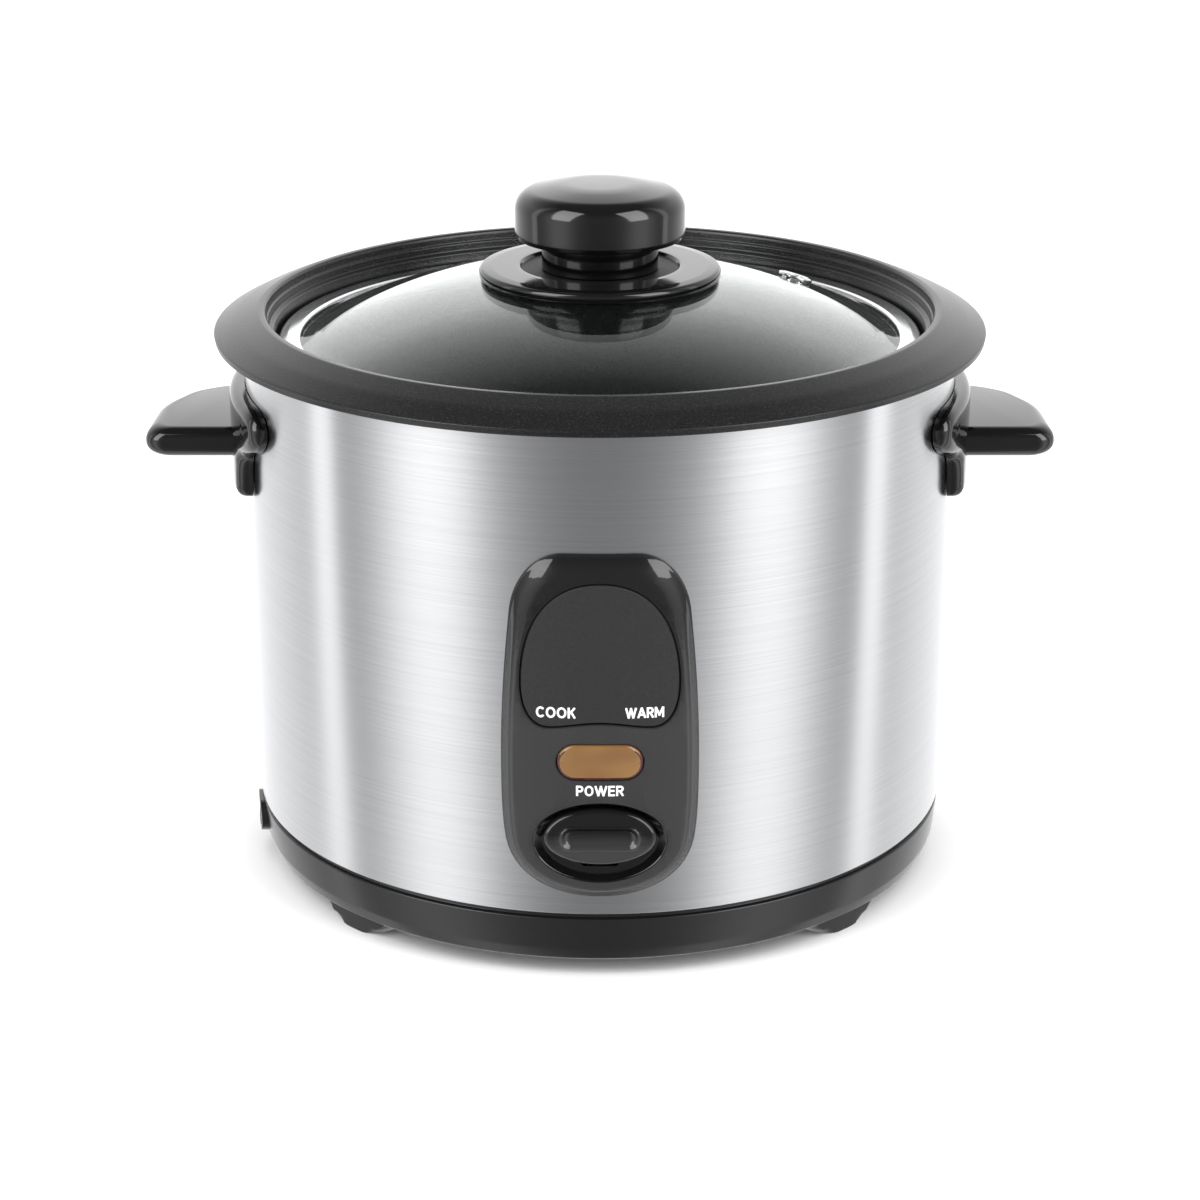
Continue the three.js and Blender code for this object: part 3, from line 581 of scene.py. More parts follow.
def make_base():
    top = DRUM_BOTTOM - 0.3
    groove = 1.3
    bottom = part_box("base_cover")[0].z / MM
    profile = rounded([
        (0, bottom, 0), (104, bottom, 0), (105, bottom - 0.4, 0), (107, bottom - 0.4, 0.4),
        (112.6, bottom, 1.2), (113.8, bottom + 4, 3), (DRUM_R - 0.3, top - groove - 0.5, 0.5),
        (DRUM_R - 1.6, top - groove, 0.3),
        (DRUM_R - 1.9, top, 0), (DRUM_R - 4, top, 0), (110.8, bottom + 2, 0), (0, bottom + 2, 0),
    ], closed=False)
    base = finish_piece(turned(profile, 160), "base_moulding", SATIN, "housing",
                        ["base_cover"])
    cut_away(base, base_openings((bottom + 1) * MM))


VENT_SLOT_ANGLES = (60, 76, 92, 108, 124, 236, 252, 268, 284, 300)      # degrees round the Z axis


def base_openings(level):
    """Cutters for the base: ten vent slots, three screw holes and the oval hole for the mains inlet."""
    bm = bmesh.new()
    for angle in VENT_SLOT_ANGLES:
        spot = Matrix.Rotation(math.radians(angle), 4, "Z") @ Matrix.Translation((47 * MM, 0, level))
        slot = spot @ Matrix.Diagonal((22 * MM, 3.2 * MM, 12 * MM, 1))
        bmesh.ops.create_cube(bm, size=1, matrix=slot)
    for k in (1, 2, 3):
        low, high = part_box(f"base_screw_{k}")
        at = Matrix.Translation(((low.x + high.x) / 2, (low.y + high.y) / 2, level))
        bmesh.ops.create_cone(
            bm, cap_ends=True, segments=32, radius1=2.2 * MM, radius2=2.2 * MM, depth=12 * MM, matrix=at
        )
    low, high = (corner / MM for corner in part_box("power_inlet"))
    middle = (low + high) / 2
    hole = stadium((high.y - low.y) / 2 + 0.3, (high.z - low.z) / 2 + 0.3, middle.z)
    outer, inner = [
        [bm.verts.new((x * MM, (middle.y + p.x) * MM, p.y * MM)) for p in hole] for x in (-120, -100)
    ]
    bm.faces.new(outer)
    bm.faces.new(inner)
    for k in range(len(hole)):
        bm.faces.new((outer[k - 1], outer[k], inner[k], inner[k - 1]))
    return bm


def make_feet():
    for k, node in enumerate(("foot_1", "foot_2", "foot_3", "foot_4")):
        profile = rounded([
            (0, 1.6, 0), (5.5, 1.6, 0.5), (6.3, 0, 0.4), (9.5, 0, 1.6), (13.6, 3.2, 6), (16, 5.7, 0),
            (0, 5.7, 0),
        ], closed=False)
        bm = turned(profile, 48)
        at = Vector(((-1, 1, 1, -1)[k], (-1, -1, 1, 1)[k], 0)) * FOOT_OFFSET * MM
        bmesh.ops.translate(bm, vec=at, verts=bm.verts)
        for v in bm.verts:
            reach = v.co.xy.length
            limit = 111.4 * MM
            if reach > limit:
                v.co.xy *= limit / reach
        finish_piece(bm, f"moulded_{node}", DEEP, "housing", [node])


# ---- Handles ------------------------------------------------------------------------------

def saddle_outline():
    """The handle's saddle seen square on, in Y and Z, from its bottom centre up its right side."""
    return curved([
        ((0, 129.3), (10, 129.3), (20, 129.3), (29, 129.3)),
        ((29, 129.3), (31.6, 129.3), (33, 131), (33, 134)),
        ((33, 134), (33.5, 141), (35, 144.5), (38.4, 145.7)),
        ((38.4, 145.7), (43, 147.0), (49, 149.0), (51.5, 153)),
        ((51.5, 153), (53.6, 156.4), (52.5, 160), (48.5, 161.8)),
        ((48.5, 161.8), (46, 162.8), (43, 162.8), (40, 162.8)),
        ((40, 162.8), (26, 162.8), (13, 162.8), (0, 162.8)),
    ], steps=6)


def paddle_outline(shrink):
    """The handle's grip seen from above, in X and Y: root, square front corner and big rear corner."""
    half = 28.5 - shrink
    reach = REACH - shrink
    return rounded([(115.6, -half, 0), (reach, -half, 6), (reach - 1, 2, 30), (reach - 8, 17, 14),
                    (124, half, 22), (115.6, half, 0)], closed=False, steps=8)


def make_handle(side, node, name):
    """One moulded handle: a saddle that hugs the drum and a rounded paddle growing out of it."""
    bm = bmesh.new()
    outline = saddle_outline()
    steps = [(0.0, 0.0), (0.0, 1.6), (0.3, 2.9), (0.9, 3.9), (1.8, 4.6), (2.9, 5.0)]
    rings = [(inset(outline, shrink), PANEL_BACK + rise) for shrink, rise in steps]
    first, last = add_wall(bm, rings)
    fill(bm, first)
    fill(bm, last)
    wrap(bm, 4.0)
    bmesh.ops.rotate(bm, verts=bm.verts, matrix=Matrix.Rotation(math.pi / 2, 3, "Z"), cent=(0, 0, 0))
    paddle = bmesh.new()
    bottom, top = 141.5, 151.3
    edge = 4.6
    arc = [math.pi / 2 * k / 8 for k in range(9)]
    rings = [(edge * (1 - math.sin(a)), bottom + edge * (1 - math.cos(a))) for a in arc]
    rings += [(edge * (1 - math.cos(a)), top - edge * (1 - math.sin(a))) for a in arc]
    loops = []
    for shrink, z in rings:
        verts = [paddle.verts.new((p.x * MM, p.y * MM, z * MM)) for p in paddle_outline(shrink)]
        loops.append([paddle.edges.new(pair) for pair in zip(verts, verts[1:] + verts[:1])])
    for a, b in zip(loops, loops[1:]):
        bmesh.ops.bridge_loops(paddle, edges=a + b)
    bmesh.ops.contextual_create(paddle, geom=loops[0])
    bmesh.ops.contextual_create(paddle, geom=loops[-1])
    bmesh.ops.recalc_face_normals(paddle, faces=paddle.faces)
    spare = bpy.data.meshes.new("spare")
    paddle.to_mesh(spare)
    paddle.free()
    bm.from_mesh(spare)
    bpy.data.meshes.remove(spare)
    if side < 0:
        bmesh.ops.scale(bm, vec=(-1, 1, 1), verts=bm.verts)
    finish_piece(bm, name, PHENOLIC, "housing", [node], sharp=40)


# ---- Control panel ------------------------------------------------------------------------

def panel_outline():
    return curved([
        ((0, 29.1), (15, 29.1), (27, 35), (29.4, 47)),
        ((29.4, 47), (30.6, 54), (30.7, 62), (30.7, 72.5)),
        ((30.7, 72.5), (30.7, 92), (29.0, 110), (27.7, 122)),
        ((27.7, 122), (26.6, 130.5), (21, 139.5), (11, 139.5)),
        ((11, 139.5), (7, 139.5), (4, 139.5), (0, 139.5)),
    ], steps=14)


def label_outline():
    return curved([
        ((0, 87.1), (6, 87.1), (11, 85.6), (15.5, 85.6)),
        ((15.5, 85.6), (21, 85.6), (24, 91), (24, 99.5)),
        ((24, 99.5), (24, 117), (16.5, 131.4), (0, 131.4)),
    ], steps=18)


LEVER_SLOT = (-5.8, 39.4, 5.8, 50.0)
LENS_HALF_X, LENS_HALF_Z, LENS_Z = 12.95, 5.55, 74.65
DISH_Z = 48.25
DISH_FLOOR = 2.6        # depth of the dish round the lever


def make_panel():
    """The raised panel: rounded border, sunk label seat, lens seat and a dished ellipse for the lever."""
    bm = bmesh.new()
    outline = panel_outline()
    low = PANEL_BACK + 0.6
    # The rounded border is 4.1 mm wide beside the label and widens to 6.7 mm round the top.
    crown = [4.1 + 2.6 * min(max((p.y - 108) / 20, 0), 1) for p in outline]
    border = [(outline, PANEL_BACK), (inset(outline, 0.05), low - 0.1), (inset(outline, 0.45), low)]
    for k in range(1, 11):
        share = k / 10
        rise = 1 - (1 - share) ** 1.7
        distances = [0.45 + width * share for width in crown]
        border.append((inset(outline, distances), low + (PANEL_FACE - low) * rise))
    back, rim = add_wall(bm, border)
    label = label_outline()
    label_top, label_floor = add_wall(bm, [
        (inset(label, -0.5), PANEL_FACE), (inset(label, -0.15), PANEL_FACE - 0.25), (label, PANEL_FACE - 1.0),
    ])
    fill(bm, label_floor)
    lens = stadium(LENS_HALF_X + 0.25, LENS_HALF_Z + 0.25, LENS_Z)
    lens_top, lens_floor = add_wall(bm, [(inset(lens, -0.3), PANEL_FACE), (lens, PANEL_FACE - 0.3),
                                         (lens, PANEL_FACE - 2.4)])
    fill(bm, lens_floor)
    dish = [
        (20.5, 13.2, 0), (20.2, 12.95, 0.15), (19.8, 12.6, 0.6), (19.2, 12.1, 1.25), (18.6, 11.6, 1.85),
        (18.0, 11.1, 2.3), (17.4, 10.5, DISH_FLOOR),
    ]
    dish_top, dish_floor = add_wall(bm, [(ellipse(a, b, DISH_Z), PANEL_FACE - d) for a, b, d in dish])
    slot = rectangle(*LEVER_SLOT, 1)
    slot_front, slot_back = add_wall(bm, [(slot, PANEL_FACE - DISH_FLOOR), (slot, PANEL_BACK)])
    fill(bm, dish_floor, slot_front)
    fill(bm, rim, label_top, lens_top, dish_top)
    fill(bm, back, slot_back)
    wrap(bm)
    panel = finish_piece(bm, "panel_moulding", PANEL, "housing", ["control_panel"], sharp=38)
    # Painted shade: the dish under the lever pad takes the darker gloss black, and the slot and the groove
    # round the label seat take the dull black.
    panel.data.materials.append(PHENOLIC)
    panel.data.materials.append(DEEP)
    for face in panel.data.polygons:
        x = face.center.x / MM
        depth = math.hypot(face.center.x, face.center.y) / MM
        z = face.center.z / MM
        in_dish = (x / 20.7) ** 2 + ((z - DISH_Z) / 13.4) ** 2 < 1 and depth < PANEL_FACE - 0.02
        in_groove = 84 < z < 132 and PANEL_FACE - 1.1 < depth < PANEL_FACE - 0.05 and abs(x) < 24.6
        in_slot = in_dish and depth < PANEL_FACE - 2.7
        if in_dish:
            face.material_index = 1
        if in_slot or in_groove:
            face.material_index = 2


def make_label():
    bm = bmesh.new()
    outline = inset(label_outline(), 0.45)
    rings = [
        (outline, PANEL_FACE - 0.9), (outline, PANEL_FACE - 0.15), (inset(outline, 0.18), PANEL_FACE + 0.05),
    ]
    first, last = add_wall(bm, rings)
    fill(bm, first)
    fill(bm, last)
    wrap(bm)
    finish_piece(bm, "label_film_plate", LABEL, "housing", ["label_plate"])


def make_lens():
    bm = bmesh.new()
    outline = stadium(LENS_HALF_X, LENS_HALF_Z, LENS_Z)
    rings = [(outline, PANEL_FACE - 2.2), (outline, PANEL_FACE - 0.1)]
    for k in range(1, 5):
        a = math.pi / 2 * k / 4
        rings.append((inset(outline, 1.5 * (1 - math.cos(a))), PANEL_FACE - 0.1 + 0.9 * math.sin(a)))
    first, last = add_wall(bm, rings)
    fill(bm, first)
    fill(bm, last)
    wrap(bm)
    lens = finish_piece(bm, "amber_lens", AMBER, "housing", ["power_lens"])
    lens.data.materials.append(SHADED_LENS_EDGE)
    # Painted shade: the wall and the bevel faces that don't face up take the dark red-brown.
    for face in lens.data.polygons:
        outwards = Vector((face.center.x, face.center.y, 0)).normalized()
        if face.normal.dot(outwards) < 0.95 and face.normal.z < 0.3:
            face.material_index = 1


def bow(x, z, half_x, half_z, start, end, steps=14):
    """Part of an ellipse as a pen stroke, from one angle in degrees to another."""
    turns = (math.radians(start + (end - start) * k / steps) for k in range(steps + 1))
    return [(x + half_x * math.cos(a), z + half_z * math.sin(a)) for a in turns]


# Each capital's width, then its pen strokes on a field 1 high. A closed stroke ends where it starts.
LETTERS = {
    "C": (0.92, [bow(0.55, 0.5, 0.55, 0.5, 42, 318)]),
    "O": (1.05, [bow(0.5, 0.5, 0.5, 0.5, 0, 360, 24)]),
    "K": (0.88, [[(0, 0), (0, 1)], [(0.86, 1), (0.1, 0.42)], [(0.36, 0.62), (0.9, 0)]]),
    "W": (1.6, [[(0, 1), (0.26, 0)], [(0.26, 0), (0.5, 1)], [(0.5, 1), (0.74, 0)], [(0.74, 0), (1, 1)]]),
    "A": (1.1, [[(0, 0), (0.47, 1)], [(0.53, 1), (1, 0)], [(0.2, 0.28), (0.8, 0.28)]]),
    "R": (0.88, [[(0, 0), (0, 1)], [(0, 1)] + bow(0.55, 0.74, 0.4, 0.26, 90, -90) + [(0, 0.48)],
                 [(0.5, 0.46), (0.95, 0)]]),
    "M": (1.25, [[(0, 0), (0, 1)], [(0.05, 1), (0.5, 0.2)], [(0.5, 0.2), (0.95, 1)], [(1, 0), (1, 1)]]),
    "P": (0.82, [[(0, 0), (0, 1)], [(0, 1)] + bow(0.55, 0.72, 0.42, 0.28, 90, -90) + [(0, 0.44)]]),
    "E": (0.72, [[(0, 0), (0, 1)], [(0, 1), (1, 1)], [(0, 0.52), (0.9, 0.52)], [(0, 0), (1, 0)]]),
}


def pen_outline(path, pen):
    """The two edges of a pen stroke of the given width, mitred at its corners."""
    closed = (path[0] - path[-1]).length < 1e-6
    left, right = [], []
    last = len(path) - 1
    for i, here in enumerate(path):
        before = path[i - 1] if i else (path[last - 1] if closed else here)
        after = path[i + 1] if i < last else (path[1] if closed else here)
        a = (here - before).normalized() if here != before else (after - here).normalized()
        b = (after - here).normalized() if after != here else a
        across = Vector((-(a + b).y, (a + b).x)).normalized()
        reach = pen / 2 / max(0.78, across.dot(Vector((-a.y, a.x))))
        left.append(here + across * reach)
        right.append(here - across * reach)
    return left, right


def make_legend(text, x, z, width, height, name):
    """A printed word, laid on the front as a thin skin of ink bent round the drum."""
    pen = height * 0.18
    gap = 0.46
    total = sum(LETTERS[letter][0] for letter in text) + gap * (len(text) - 1)
    unit = (width - pen) / total
    at = x - (width - pen) / 2
    bm = bmesh.new()
    depth = PANEL_FACE + 0.1
    for letter in text:
        advance, strokes = LETTERS[letter]
        for k, stroke in enumerate(strokes):
            path = [
                Vector((at + px * advance * unit, z + pen / 2 + pz * (height - pen))) for px, pz in stroke
            ]
            if len(path) == 2:
                overrun = (path[1] - path[0]).normalized() * pen * 0.45
                path = [path[0] - overrun, path[1] + overrun]
            left, right = pen_outline(path, pen)
            rise = depth + 0.012 * k
            verts = [[bm.verts.new((p.x * MM, -rise * MM, p.y * MM)) for p in side] for side in (left, right)]
            for j in range(len(path) - 1):
                bm.faces.new((verts[0][j], verts[0][j + 1], verts[1][j + 1], verts[1][j]))
        at += (advance + gap) * unit
    bmesh.ops.recalc_face_normals(bm, faces=bm.faces)
    for face in bm.faces:
        if face.normal.y > 0:
            face.normal_flip()
    skin = bm.faces[:]
    bmesh.ops.solidify(bm, geom=skin, thickness=0.03 * MM)
    wrap(bm, 4.0)
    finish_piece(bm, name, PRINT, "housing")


def make_lever():
    """The press pad: a domed ellipse with a sunk finger bar, on a neck that runs in through the slot."""
    bm = bmesh.new()
    pad = ellipse(17, 8.75, 50.75, 72)
    back, front = 116.9, 121.8
    rings = [(pad, back), (pad, front - 1.6)]
    for k in range(1, 6):
        a = math.pi / 2 * k / 5
        rings.append((inset(pad, 1.5 * (1 - math.cos(a))), front - 1.6 + 1.2 * math.sin(a)))
    first, edge = add_wall(bm, rings)
    bar = stadium(11.85, 3.5, 50.6, 10)
    bar_top, bar_floor = add_wall(bm, [
        (inset(bar, -0.55), front - 0.4), (inset(bar, -0.2), front - 0.15), (inset(bar, 0.2), front - 0.35),
        (inset(bar, 0.8), front - 1.1), (inset(bar, 1.6), front - 1.8), (inset(bar, 2.6), front - 2.1),
    ])
    fill(bm, edge, bar_top)
    fill(bm, bar_floor)
    tongue = rectangle(-5, 45, 5, 47.2, 0.6)
    neck = rectangle(-5, 43, 5, 47.2, 0.6)
    neck_root, neck_end = add_wall(bm, [(tongue, back), (tongue, 113.4), (neck, 113.2), (neck, 105)])
    fill(bm, first, neck_root)
    fill(bm, neck_end)
    for k in range(-5, 6):
        slice_through(bm, (0, 0, (50.75 + k * 1.5) * MM), (0, 0, 1))
    # The face leans back above this height, by 2.2 mm at its top edge.
    lean_from, lean_span, lean_by = 49.0, 10.5, 2.2
    for v in bm.verts:
        if -v.co.y > 118.5 * MM:
            lean = max(0.0, v.co.z / MM - lean_from) / lean_span
            v.co.y += lean_by * MM * lean**1.6
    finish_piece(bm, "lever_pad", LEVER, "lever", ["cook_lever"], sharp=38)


# ---- Pot ----------------------------------------------------------------------------------

def make_pot():
    """Deep-drawn pot with a stepped mouth and a wide flared rim, one sheet thick throughout."""
    wall = 1.3
    inner = 99.0
    seat = 171.3
    hem = 177.7
    bottom = POT_BOTTOM
    profile = rounded([
        (0, bottom + 1.6, 0), (inner, bottom + 1.6, 16), (inner, seat, 0.6), (105, seat, 0.6),
        (105, 179.7, 0.5), (106.9, 180.3, 0.5), (106.9, 182.6, 0.5), (107.6, 183.2, 0.4),
        (107.6, CREST_Z, 1.3), (110.2, CREST_Z + 0.1, 2.2), (117.5, 183.4, 30),
        (RIM_R - 0.5, 180.1, 0.35), (RIM_R, 179.7, 0.3), (RIM_R, 179.2, 0.2),
        (RIM_R - 0.35, 179.0, 0.1), (RIM_R - 0.25, hem, 0.3), (RIM_R - wall, hem, 0.3),
        (RIM_R - wall, 179.0, 1.0), (117, 182.0, 30), (110.2, 184.6, 1.0),
        (108.3, 184.4, 0.5), (108.3, 179.3, 0.5), (106.3, 178.7, 0.5), (106.3, seat - wall, 0.8),
        (inner + wall, seat - wall, 0.5), (inner + wall, bottom, 17), (0, bottom, 0),
    ], closed=False, steps=7)
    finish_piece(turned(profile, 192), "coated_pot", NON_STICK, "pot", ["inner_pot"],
                 sharp=50)


# ---- Lid ----------------------------------------------------------------------------------

def vent_matrix():
    """Where the vent stands: square to the dome, at the right rear of the glass."""
    x, y = 65.0, 33.0
    height = dome_height(math.hypot(x, y))
    normal = Vector((x, y, height - (DOME_TOP - DOME_R))).normalized()
    turn = Vector((0, 0, 1)).rotation_difference(normal).to_matrix().to_4x4()
    return Matrix.Translation(Vector((x, y, height)) * MM) @ turn


def make_glass():
    """The dome, with a flat ground flange at its edge, a hole for the knob's screw and one for the vent."""
    hole = 3.2
    edge_top, edge_r = 176.1, 102.8
    radii = [hole + (92 - hole) * k / 24 for k in range(25)]
    upper = [(r, dome_height(r)) for r in radii]
    blend = [(95, dome_height(95) + 0.25), (97.6, edge_top + 0.15), (99, edge_top)]
    flange = [(p.x, p.y) for p in rounded([
        (99, edge_top, 0), (edge_r, edge_top, 1.2), (edge_r, edge_top - GLASS_THICK, 1.2),
        (98.4, edge_top - GLASS_THICK, 0)], closed=False)][1:]
    lower = [(r, dome_height(r, GLASS_THICK)) for r in reversed(radii)]
    profile = upper + blend + flange + lower
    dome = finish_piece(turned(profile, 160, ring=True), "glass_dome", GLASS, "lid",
                        ["lid_glass"], sharp=45)
    bm = bmesh.new()
    bmesh.ops.create_cone(bm, cap_ends=True, segments=48, radius1=4.7 * MM, radius2=4.7 * MM, depth=20 * MM,
                          matrix=vent_matrix())
    cut_away(dome, bm)


def make_lid_rim():
    """Thin steel strip rolled over the glass edge, with a small bead where it lies on the glass."""
    band = 97.0
    sheet = 0.6
    r = LID_R
    profile = rounded([
        (band, LID_TOP - sheet - 0.1, 0), (r - sheet, LID_TOP - sheet, 0.8),
        (r - sheet, LID_BOTTOM + sheet, 0.4), (band + 1, LID_BOTTOM + sheet, 0),
        (band + 1, LID_BOTTOM, 0.2), (r, LID_BOTTOM, 0.7),
        (r, LID_TOP - 0.2, 1.4), (r - 3, LID_TOP, 2), (band + 1.2, LID_TOP - 0.15, 0.8),
        (band, LID_TOP - 0.4, 0.25),
    ])
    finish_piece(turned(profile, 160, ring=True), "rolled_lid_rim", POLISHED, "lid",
                 ["lid_rim"], sharp=50)


def make_vent():
    """Steel eyelet: a flanged ring through the glass, with two thin bars crossed over its hole."""
    under = -GLASS_THICK - 0.4
    ring = rounded([
        (3.4, under - 1.2, 0.2), (5.6, under - 1.2, 0.3), (5.6, under, 0.2), (4.4, under, 0), (4.4, 0.4, 0),
        (5.7, 0.4, 0.2), (5.9, 1.2, 0.5), (4.9, 1.6, 0.4), (3.6, 1.3, 0.3), (3.4, 0.6, 0.2),
    ])
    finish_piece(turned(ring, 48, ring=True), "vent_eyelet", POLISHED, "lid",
                 ["vent_grommet"], tilt=vent_matrix())
    for k in range(2):
        bm = bmesh.new()
        bmesh.ops.create_cube(bm, size=1, matrix=Matrix.Diagonal((6.9 * MM, 1.0 * MM, 0.5 * MM, 1)))
        bmesh.ops.bevel(
            bm, geom=bm.edges[:], offset=0.15 * MM, segments=2, profile=0.5, affect="EDGES", material=-1
        )
        bmesh.ops.translate(bm, vec=(0, 0, 0.75 * MM), verts=bm.verts)
        turn = Matrix.Rotation(math.pi / 2 * k, 4, "Z")
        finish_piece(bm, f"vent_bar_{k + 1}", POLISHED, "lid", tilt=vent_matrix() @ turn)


def make_knob():
    """Skirt, waisted stem and mushroom cap, each turned in one piece."""
    r = SKIRT_R
    low = SKIRT_TOP - 1.2
    under = [(radius, dome_height(radius) + 0.3) for radius in (3, 12, 21, 30)]
    edge = rounded([
        (30, dome_height(30) + 0.3, 0), (r - 0.6, dome_height(r - 0.6) + 0.3, 0.2),
        (r, dome_height(r) + 1.2, 0.4), (r, SKIRT_TOP - 0.5, 1.5), (r - 4, SKIRT_TOP - 0.1, 5),
        (28, SKIRT_TOP, 0), (25.9, SKIRT_TOP, 0.6), (25.3, low, 0.3), (3, low, 0),
    ], closed=False)
    flange = finish_piece(turned(under[:-1] + edge, 112, ring=True), "knob_flange", PHENOLIC, "lid",
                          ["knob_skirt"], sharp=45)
    # Painted shade: the moat round the stem, under the cap, takes the dull black.
    flange.data.materials.append(DEEP)
    for face in flange.data.polygons:
        if face.center.xy.length < 25.5 * MM and face.center.z > (low - 0.2) * MM:
            face.material_index = 1
    stem = rounded([
        (3, low + 0.3, 0), (18.8, low + 0.3, 0.3), (18.7, KNOB_BOTTOM - 2, 1.5),
        (18.8, KNOB_BOTTOM - 0.3, 0.3), (3, KNOB_BOTTOM - 0.3, 0),
    ])
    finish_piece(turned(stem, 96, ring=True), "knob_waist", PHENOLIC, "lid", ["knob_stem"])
    cap = rounded([
        (2.4, KNOB_BOTTOM, 0), (21, KNOB_BOTTOM, 0.4), (21.4, KNOB_BOTTOM + 0.9, 0.3),
        (24.6, KNOB_BOTTOM + 0.9, 0.3), (25, KNOB_BOTTOM, 0.3), (KNOB_R - 0.7, KNOB_BOTTOM, 0.7),
        (KNOB_R, KNOB_BOTTOM + 1.6, 0.5), (KNOB_R, 222.3, 6.6), (13, KNOB_TOP - 0.2, 40), (0, KNOB_TOP, 0),
        (0, 215, 0), (2.4, 215, 0),
    ], closed=False, steps=9)
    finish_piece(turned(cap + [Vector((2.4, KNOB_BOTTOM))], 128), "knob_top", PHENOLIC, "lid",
                 ["knob_cap"], sharp=40)


# ---- Inside the housing -------------------------------------------------------------------

def make_liner():
    """The bucket the pot stands in: thin aluminised sheet with a rolled-out top flange."""
    r = 109.4
    sheet = 0.7
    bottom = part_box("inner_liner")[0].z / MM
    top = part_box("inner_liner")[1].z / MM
    profile = rounded([
        (28, bottom, 0.2), (r, bottom, 6), (r, top - sheet, 0.6), (112.5, top - sheet, 0), (112.5, top, 0.3),
        (r - sheet, top, 0.9), (r - sheet, bottom + sheet, 5.4), (28, bottom + sheet, 0.2),
    ])
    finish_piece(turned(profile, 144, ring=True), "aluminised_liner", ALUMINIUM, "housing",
                 ["inner_liner"])


def make_heating_plate():
    """Cast plate with the heating element's raised ring moulded under it, turned flat on top."""
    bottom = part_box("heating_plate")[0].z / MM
    top = PLATE_TOP
    profile = rounded([
        (18.6, bottom, 0.6), (44, bottom, 0), (46, bottom, 0), (68, bottom, 0.5), (72, bottom + 2, 1.5),
        (78, top - 4, 1), (78, top - 1.6, 1), (74, top - 0.3, 6), (68, top, 10), (18.6, top, 0.8),
    ])
    finish_piece(turned(profile, 128, ring=True), "cast_heating_plate", ALUMINIUM, "housing",
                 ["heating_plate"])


def make_sensor_cap():
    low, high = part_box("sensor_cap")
    r, bottom, top = high.x / MM, low.z / MM, high.z / MM
    profile = rounded([
        (0, top - 0.2, 0), (10, top - 0.2, 0.4), (11, top, 0.4), (r, top, 1.8), (r, bottom, 0.5),
        (r - 1.2, bottom, 0.3), (r - 1.2, top - 1.2, 1), (0, top - 1.2, 0),
    ], closed=False)
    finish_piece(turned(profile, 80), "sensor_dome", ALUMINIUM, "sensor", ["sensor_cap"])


def make_sensor_spring():
    """A coil with its ends wound flat; it moves with the cap as one piece."""
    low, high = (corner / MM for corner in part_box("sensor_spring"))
    wire = 0.55
    radius = high.x - wire
    turns, steps, sides = 5, 180, 10
    bottom, top = low.z + wire, high.z - wire
    bm = bmesh.new()
    rings = []
    for i in range(steps + 1):
        share = i / steps
        angle = 2 * math.pi * turns * share
        rise = min(max((share - 0.14) / 0.72, 0), 1)
        centre = Vector((radius * math.cos(angle), radius * math.sin(angle), bottom + (top - bottom) * rise))
        out = Vector((math.cos(angle), math.sin(angle), 0))
        ring = []
        for k in range(sides):
            a = 2 * math.pi * k / sides
            spoke = math.cos(a) * out + Vector((0, 0, math.sin(a)))
            ring.append(bm.verts.new((centre + wire * spoke) * MM))
        rings.append(ring)
    for a, b in zip(rings, rings[1:]):
        for k in range(sides):
            bm.faces.new((a[k], a[(k + 1) % sides], b[(k + 1) % sides], b[k]))
    bm.faces.new(rings[0])
    bm.faces.new(rings[-1])
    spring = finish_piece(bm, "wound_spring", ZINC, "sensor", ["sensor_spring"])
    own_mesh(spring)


# ---- CAD nodes that keep their shape ------------------------------------------------------

KEPT = [
    (ZINC, ["lever_arm", "lever_pin", "lever_bracket", "sensor_bracket", "knob_screw"]),
    (ZINC, [f"{kind}_{k}" for kind in ("base_screw", "body_post") for k in (1, 2, 3)]),
    (ZINC, [f"handle_screw_{k}" for k in (1, 2, 3, 4)]),
    (BRASS, ["inlet_pin_1", "inlet_pin_2", "heater_terminal_left", "heater_terminal_right", "thermal_fuse"]),
    (STEATITE, ["switch_plunger", "terminal_block", *(f"plate_standoff_{k}" for k in (1, 2, 3))]),
    (SLEEVE, ["lead_live", "lead_heater", "lead_neutral", "lead_switch"]),
    (SATIN, ["power_inlet", "micro_switch"]),
    (AMBER, ["neon_lamp_left", "neon_lamp_right"]),
    (FERRITE, ["magnet_rod", "sensor_core"]),
    (SILICONE, ["knob_washer"]),
]


def dress_kept_nodes():
    for material, names in KEPT:
        for name in names:
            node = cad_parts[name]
            node.data.materials.clear()
            node.data.materials.append(material)


# ---- Studio -------------------------------------------------------------------------------

def make_floor():
    bm = bmesh.new()
    bmesh.ops.create_grid(bm, x_segments=8, y_segments=8, size=20)
    mesh = bpy.data.meshes.new("floor")
    bm.to_mesh(mesh)
    bm.free()
    # White paper seen from above; reflections, and the view from below, look straight through it.
    material, tree, shader = surface("pale_paper", "#f5f5f5", 0.9, Specular_IOR_Level=0.0)
    path = add(tree, "ShaderNodeLightPath")
    side = add(tree, "ShaderNodeNewGeometry")
    unseen = add(
        tree, "ShaderNodeMath",
        {0: path.outputs["Is Glossy Ray"], 1: side.outputs["Backfacing"]},
        operation="MAXIMUM",
    )
    open_to(tree, shader, unseen.outputs[0])
    mesh.materials.append(material)
    floor = place("floor", mesh)


def softbox(name, location, target, width, height, power, mirrored=True):
    data = bpy.data.lights.new(name, "AREA")
    data.shape = "RECTANGLE"
    data.size = width
    data.size_y = height
    data.energy = power
    lamp = place(name, data)
    lamp.location = location
    lamp.visible_glossy = mirrored
    lamp.visible_transmission = mirrored
    lamp.rotation_euler = (Vector(target) - Vector(location)).to_track_quat("-Z", "Y").to_euler()


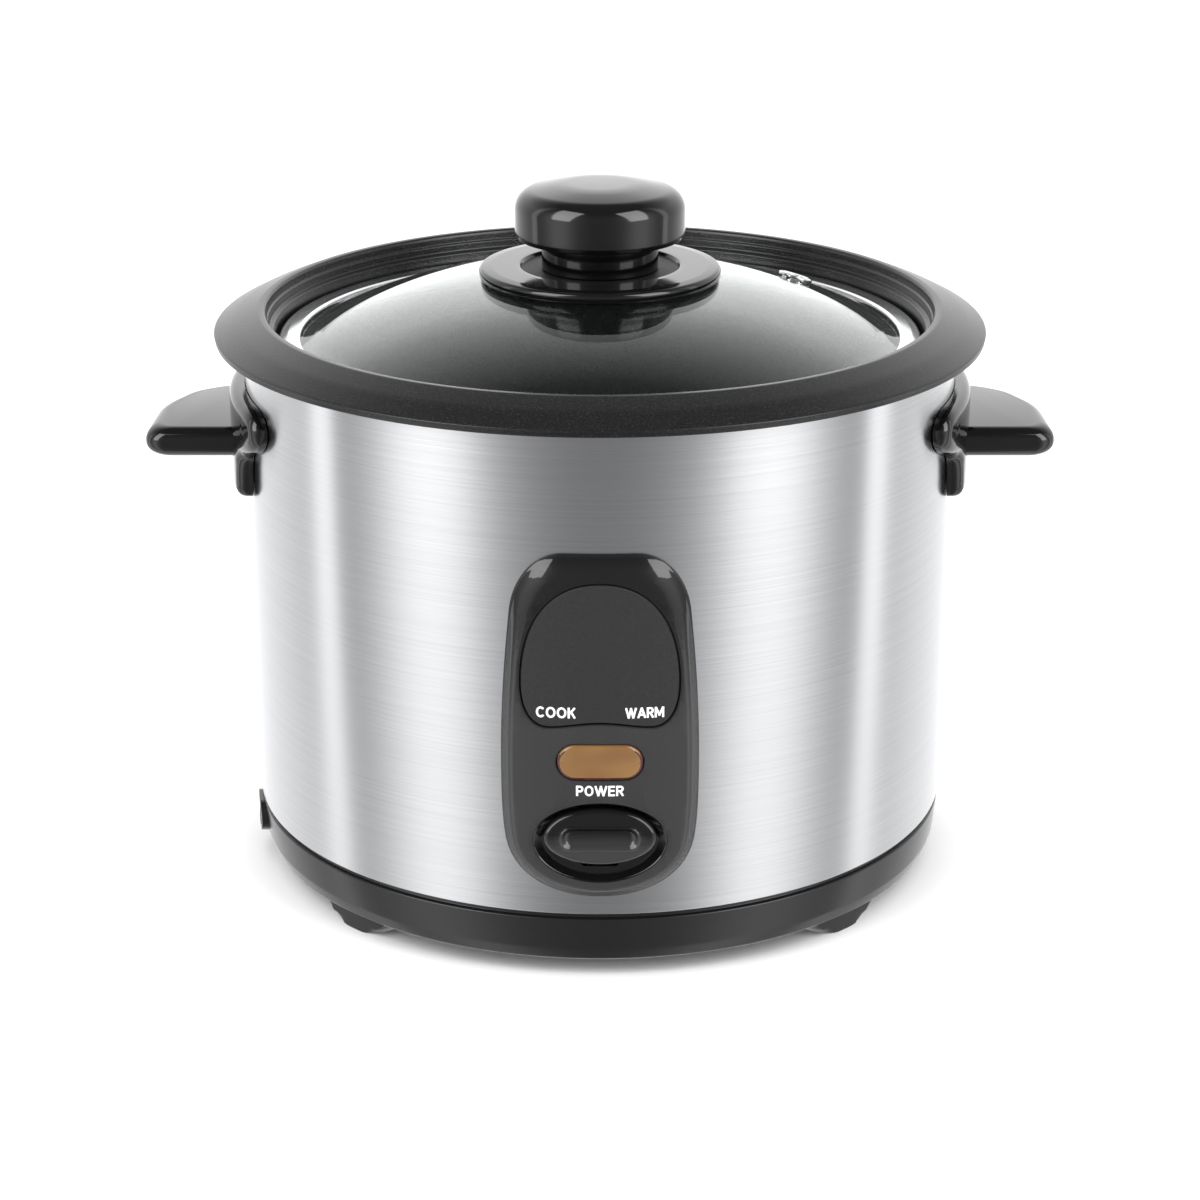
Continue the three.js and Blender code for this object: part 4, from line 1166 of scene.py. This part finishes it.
# Grey of the surroundings by direction: 0 is straight in front of the cooker, 0.5 its sides, 1 behind it.
ROOM_BANDS = [
    (0.0, 0.29), (0.045, 0.30), (0.09, 0.35), (0.12, 0.41), (0.156, 0.52), (0.192, 0.72), (0.228, 1.02),
    (0.267, 1.34), (0.306, 1.48), (0.347, 1.42), (0.389, 1.12), (0.437, 0.76), (0.475, 0.56), (0.514, 0.54),
    (0.522, 1.7), (0.566, 1.75), (0.576, 0.95), (0.615, 0.9), (0.70, 1.1), (0.86, 1.35), (1.0, 1.75),
]


def room_bands(tree, direction, stops):
    """A grey that depends only on the compass direction, the same on the left as on the right."""
    axes = add(tree, "ShaderNodeSeparateXYZ", {"Vector": direction})
    sideways = add(tree, "ShaderNodeMath", {0: axes.outputs["X"]}, operation="ABSOLUTE")
    forwards = add(tree, "ShaderNodeMath", {0: axes.outputs["Y"], 1: -1.0}, operation="MULTIPLY")
    turn = add(tree, "ShaderNodeMath", {0: sideways.outputs[0], 1: forwards.outputs[0]}, operation="ARCTAN2")
    share = add(tree, "ShaderNodeMath", {0: turn.outputs[0], 1: math.pi}, operation="DIVIDE")
    bands = add(tree, "ShaderNodeValToRGB", {"Fac": share.outputs[0]})
    ramp = bands.color_ramp
    while len(ramp.elements) > 1:
        ramp.elements.remove(ramp.elements[-1])
    for i, (position, grey) in enumerate(stops):
        stop = ramp.elements[0] if i == 0 else ramp.elements.new(position)
        stop.position = position
        stop.color = (grey, grey, grey, 1)
    return bands.outputs["Color"]


def make_world():
    """A white room; in reflections its walls are broad bands, dark in front, and its ceiling is pale."""
    world = bpy.data.worlds.new("studio")
    bpy.context.scene.world = world
    world.use_nodes = True
    tree = world.node_tree
    tree.nodes.clear()
    direction = add(tree, "ShaderNodeTexCoord").outputs["Generated"]
    walls = room_bands(tree, direction, ROOM_BANDS)
    axes = add(tree, "ShaderNodeSeparateXYZ", {"Vector": direction})
    up = add(tree, "ShaderNodeMapRange", {"Value": axes.outputs["Z"], "From Min": 0.45, "From Max": 0.85})
    room = add(tree, "ShaderNodeMix", {0: up.outputs["Result"], 6: walls, 7: (0.12, 0.12, 0.12, 1)},
               data_type="RGBA")
    path = add(tree, "ShaderNodeLightPath")
    lit = add(
        tree, "ShaderNodeMix",
        {0: path.outputs["Is Glossy Ray"], 6: (0.92, 0.92, 0.92, 1), 7: room.outputs[2]},
        data_type="RGBA",
    )
    seen = add(tree, "ShaderNodeMix", {0: path.outputs["Is Camera Ray"], 6: lit.outputs[2], 7: (1, 1, 1, 1)},
               data_type="RGBA")
    glow = add(tree, "ShaderNodeBackground", {"Color": seen.outputs[2], "Strength": 1.0})
    out = add(tree, "ShaderNodeOutputWorld")
    tree.links.new(glow.outputs["Background"], out.inputs["Surface"])


def make_lights():
    softbox("key_left", (-1.1, -0.8, 1.1), (0, 0, 0.12), 0.85, 1.5, 17)
    softbox("key_right", (1.1, -0.8, 1.1), (0, 0, 0.12), 0.85, 1.5, 17)
    softbox("top", (0, 0.3, 1.6), (0, 0, 0.1), 1.2, 1.2, 14, mirrored=False)


bpy.context.scene.view_settings.view_transform = "Standard"

make_camera()
make_drum()
make_base()
make_feet()
make_handle(1, "handle_right", "right_grip")
make_handle(-1, "handle_left", "left_grip")
make_panel()
make_label()
make_lens()
make_legend("COOK", -13.1, 88.9, 12.0, 3.5, "legend_cook")
make_legend("WARM", 13.3, 88.9, 11.6, 3.4, "legend_warm")
make_legend("POWER", 0, 63.8, 14.4, 3.4, "legend_power")
make_lever()
make_pot()
make_glass()
make_lid_rim()
make_vent()
make_knob()
make_liner()
make_heating_plate()
make_sensor_cap()
make_sensor_spring()
dress_kept_nodes()
make_floor()
make_world()
make_lights()

bpy.context.view_layer.update()
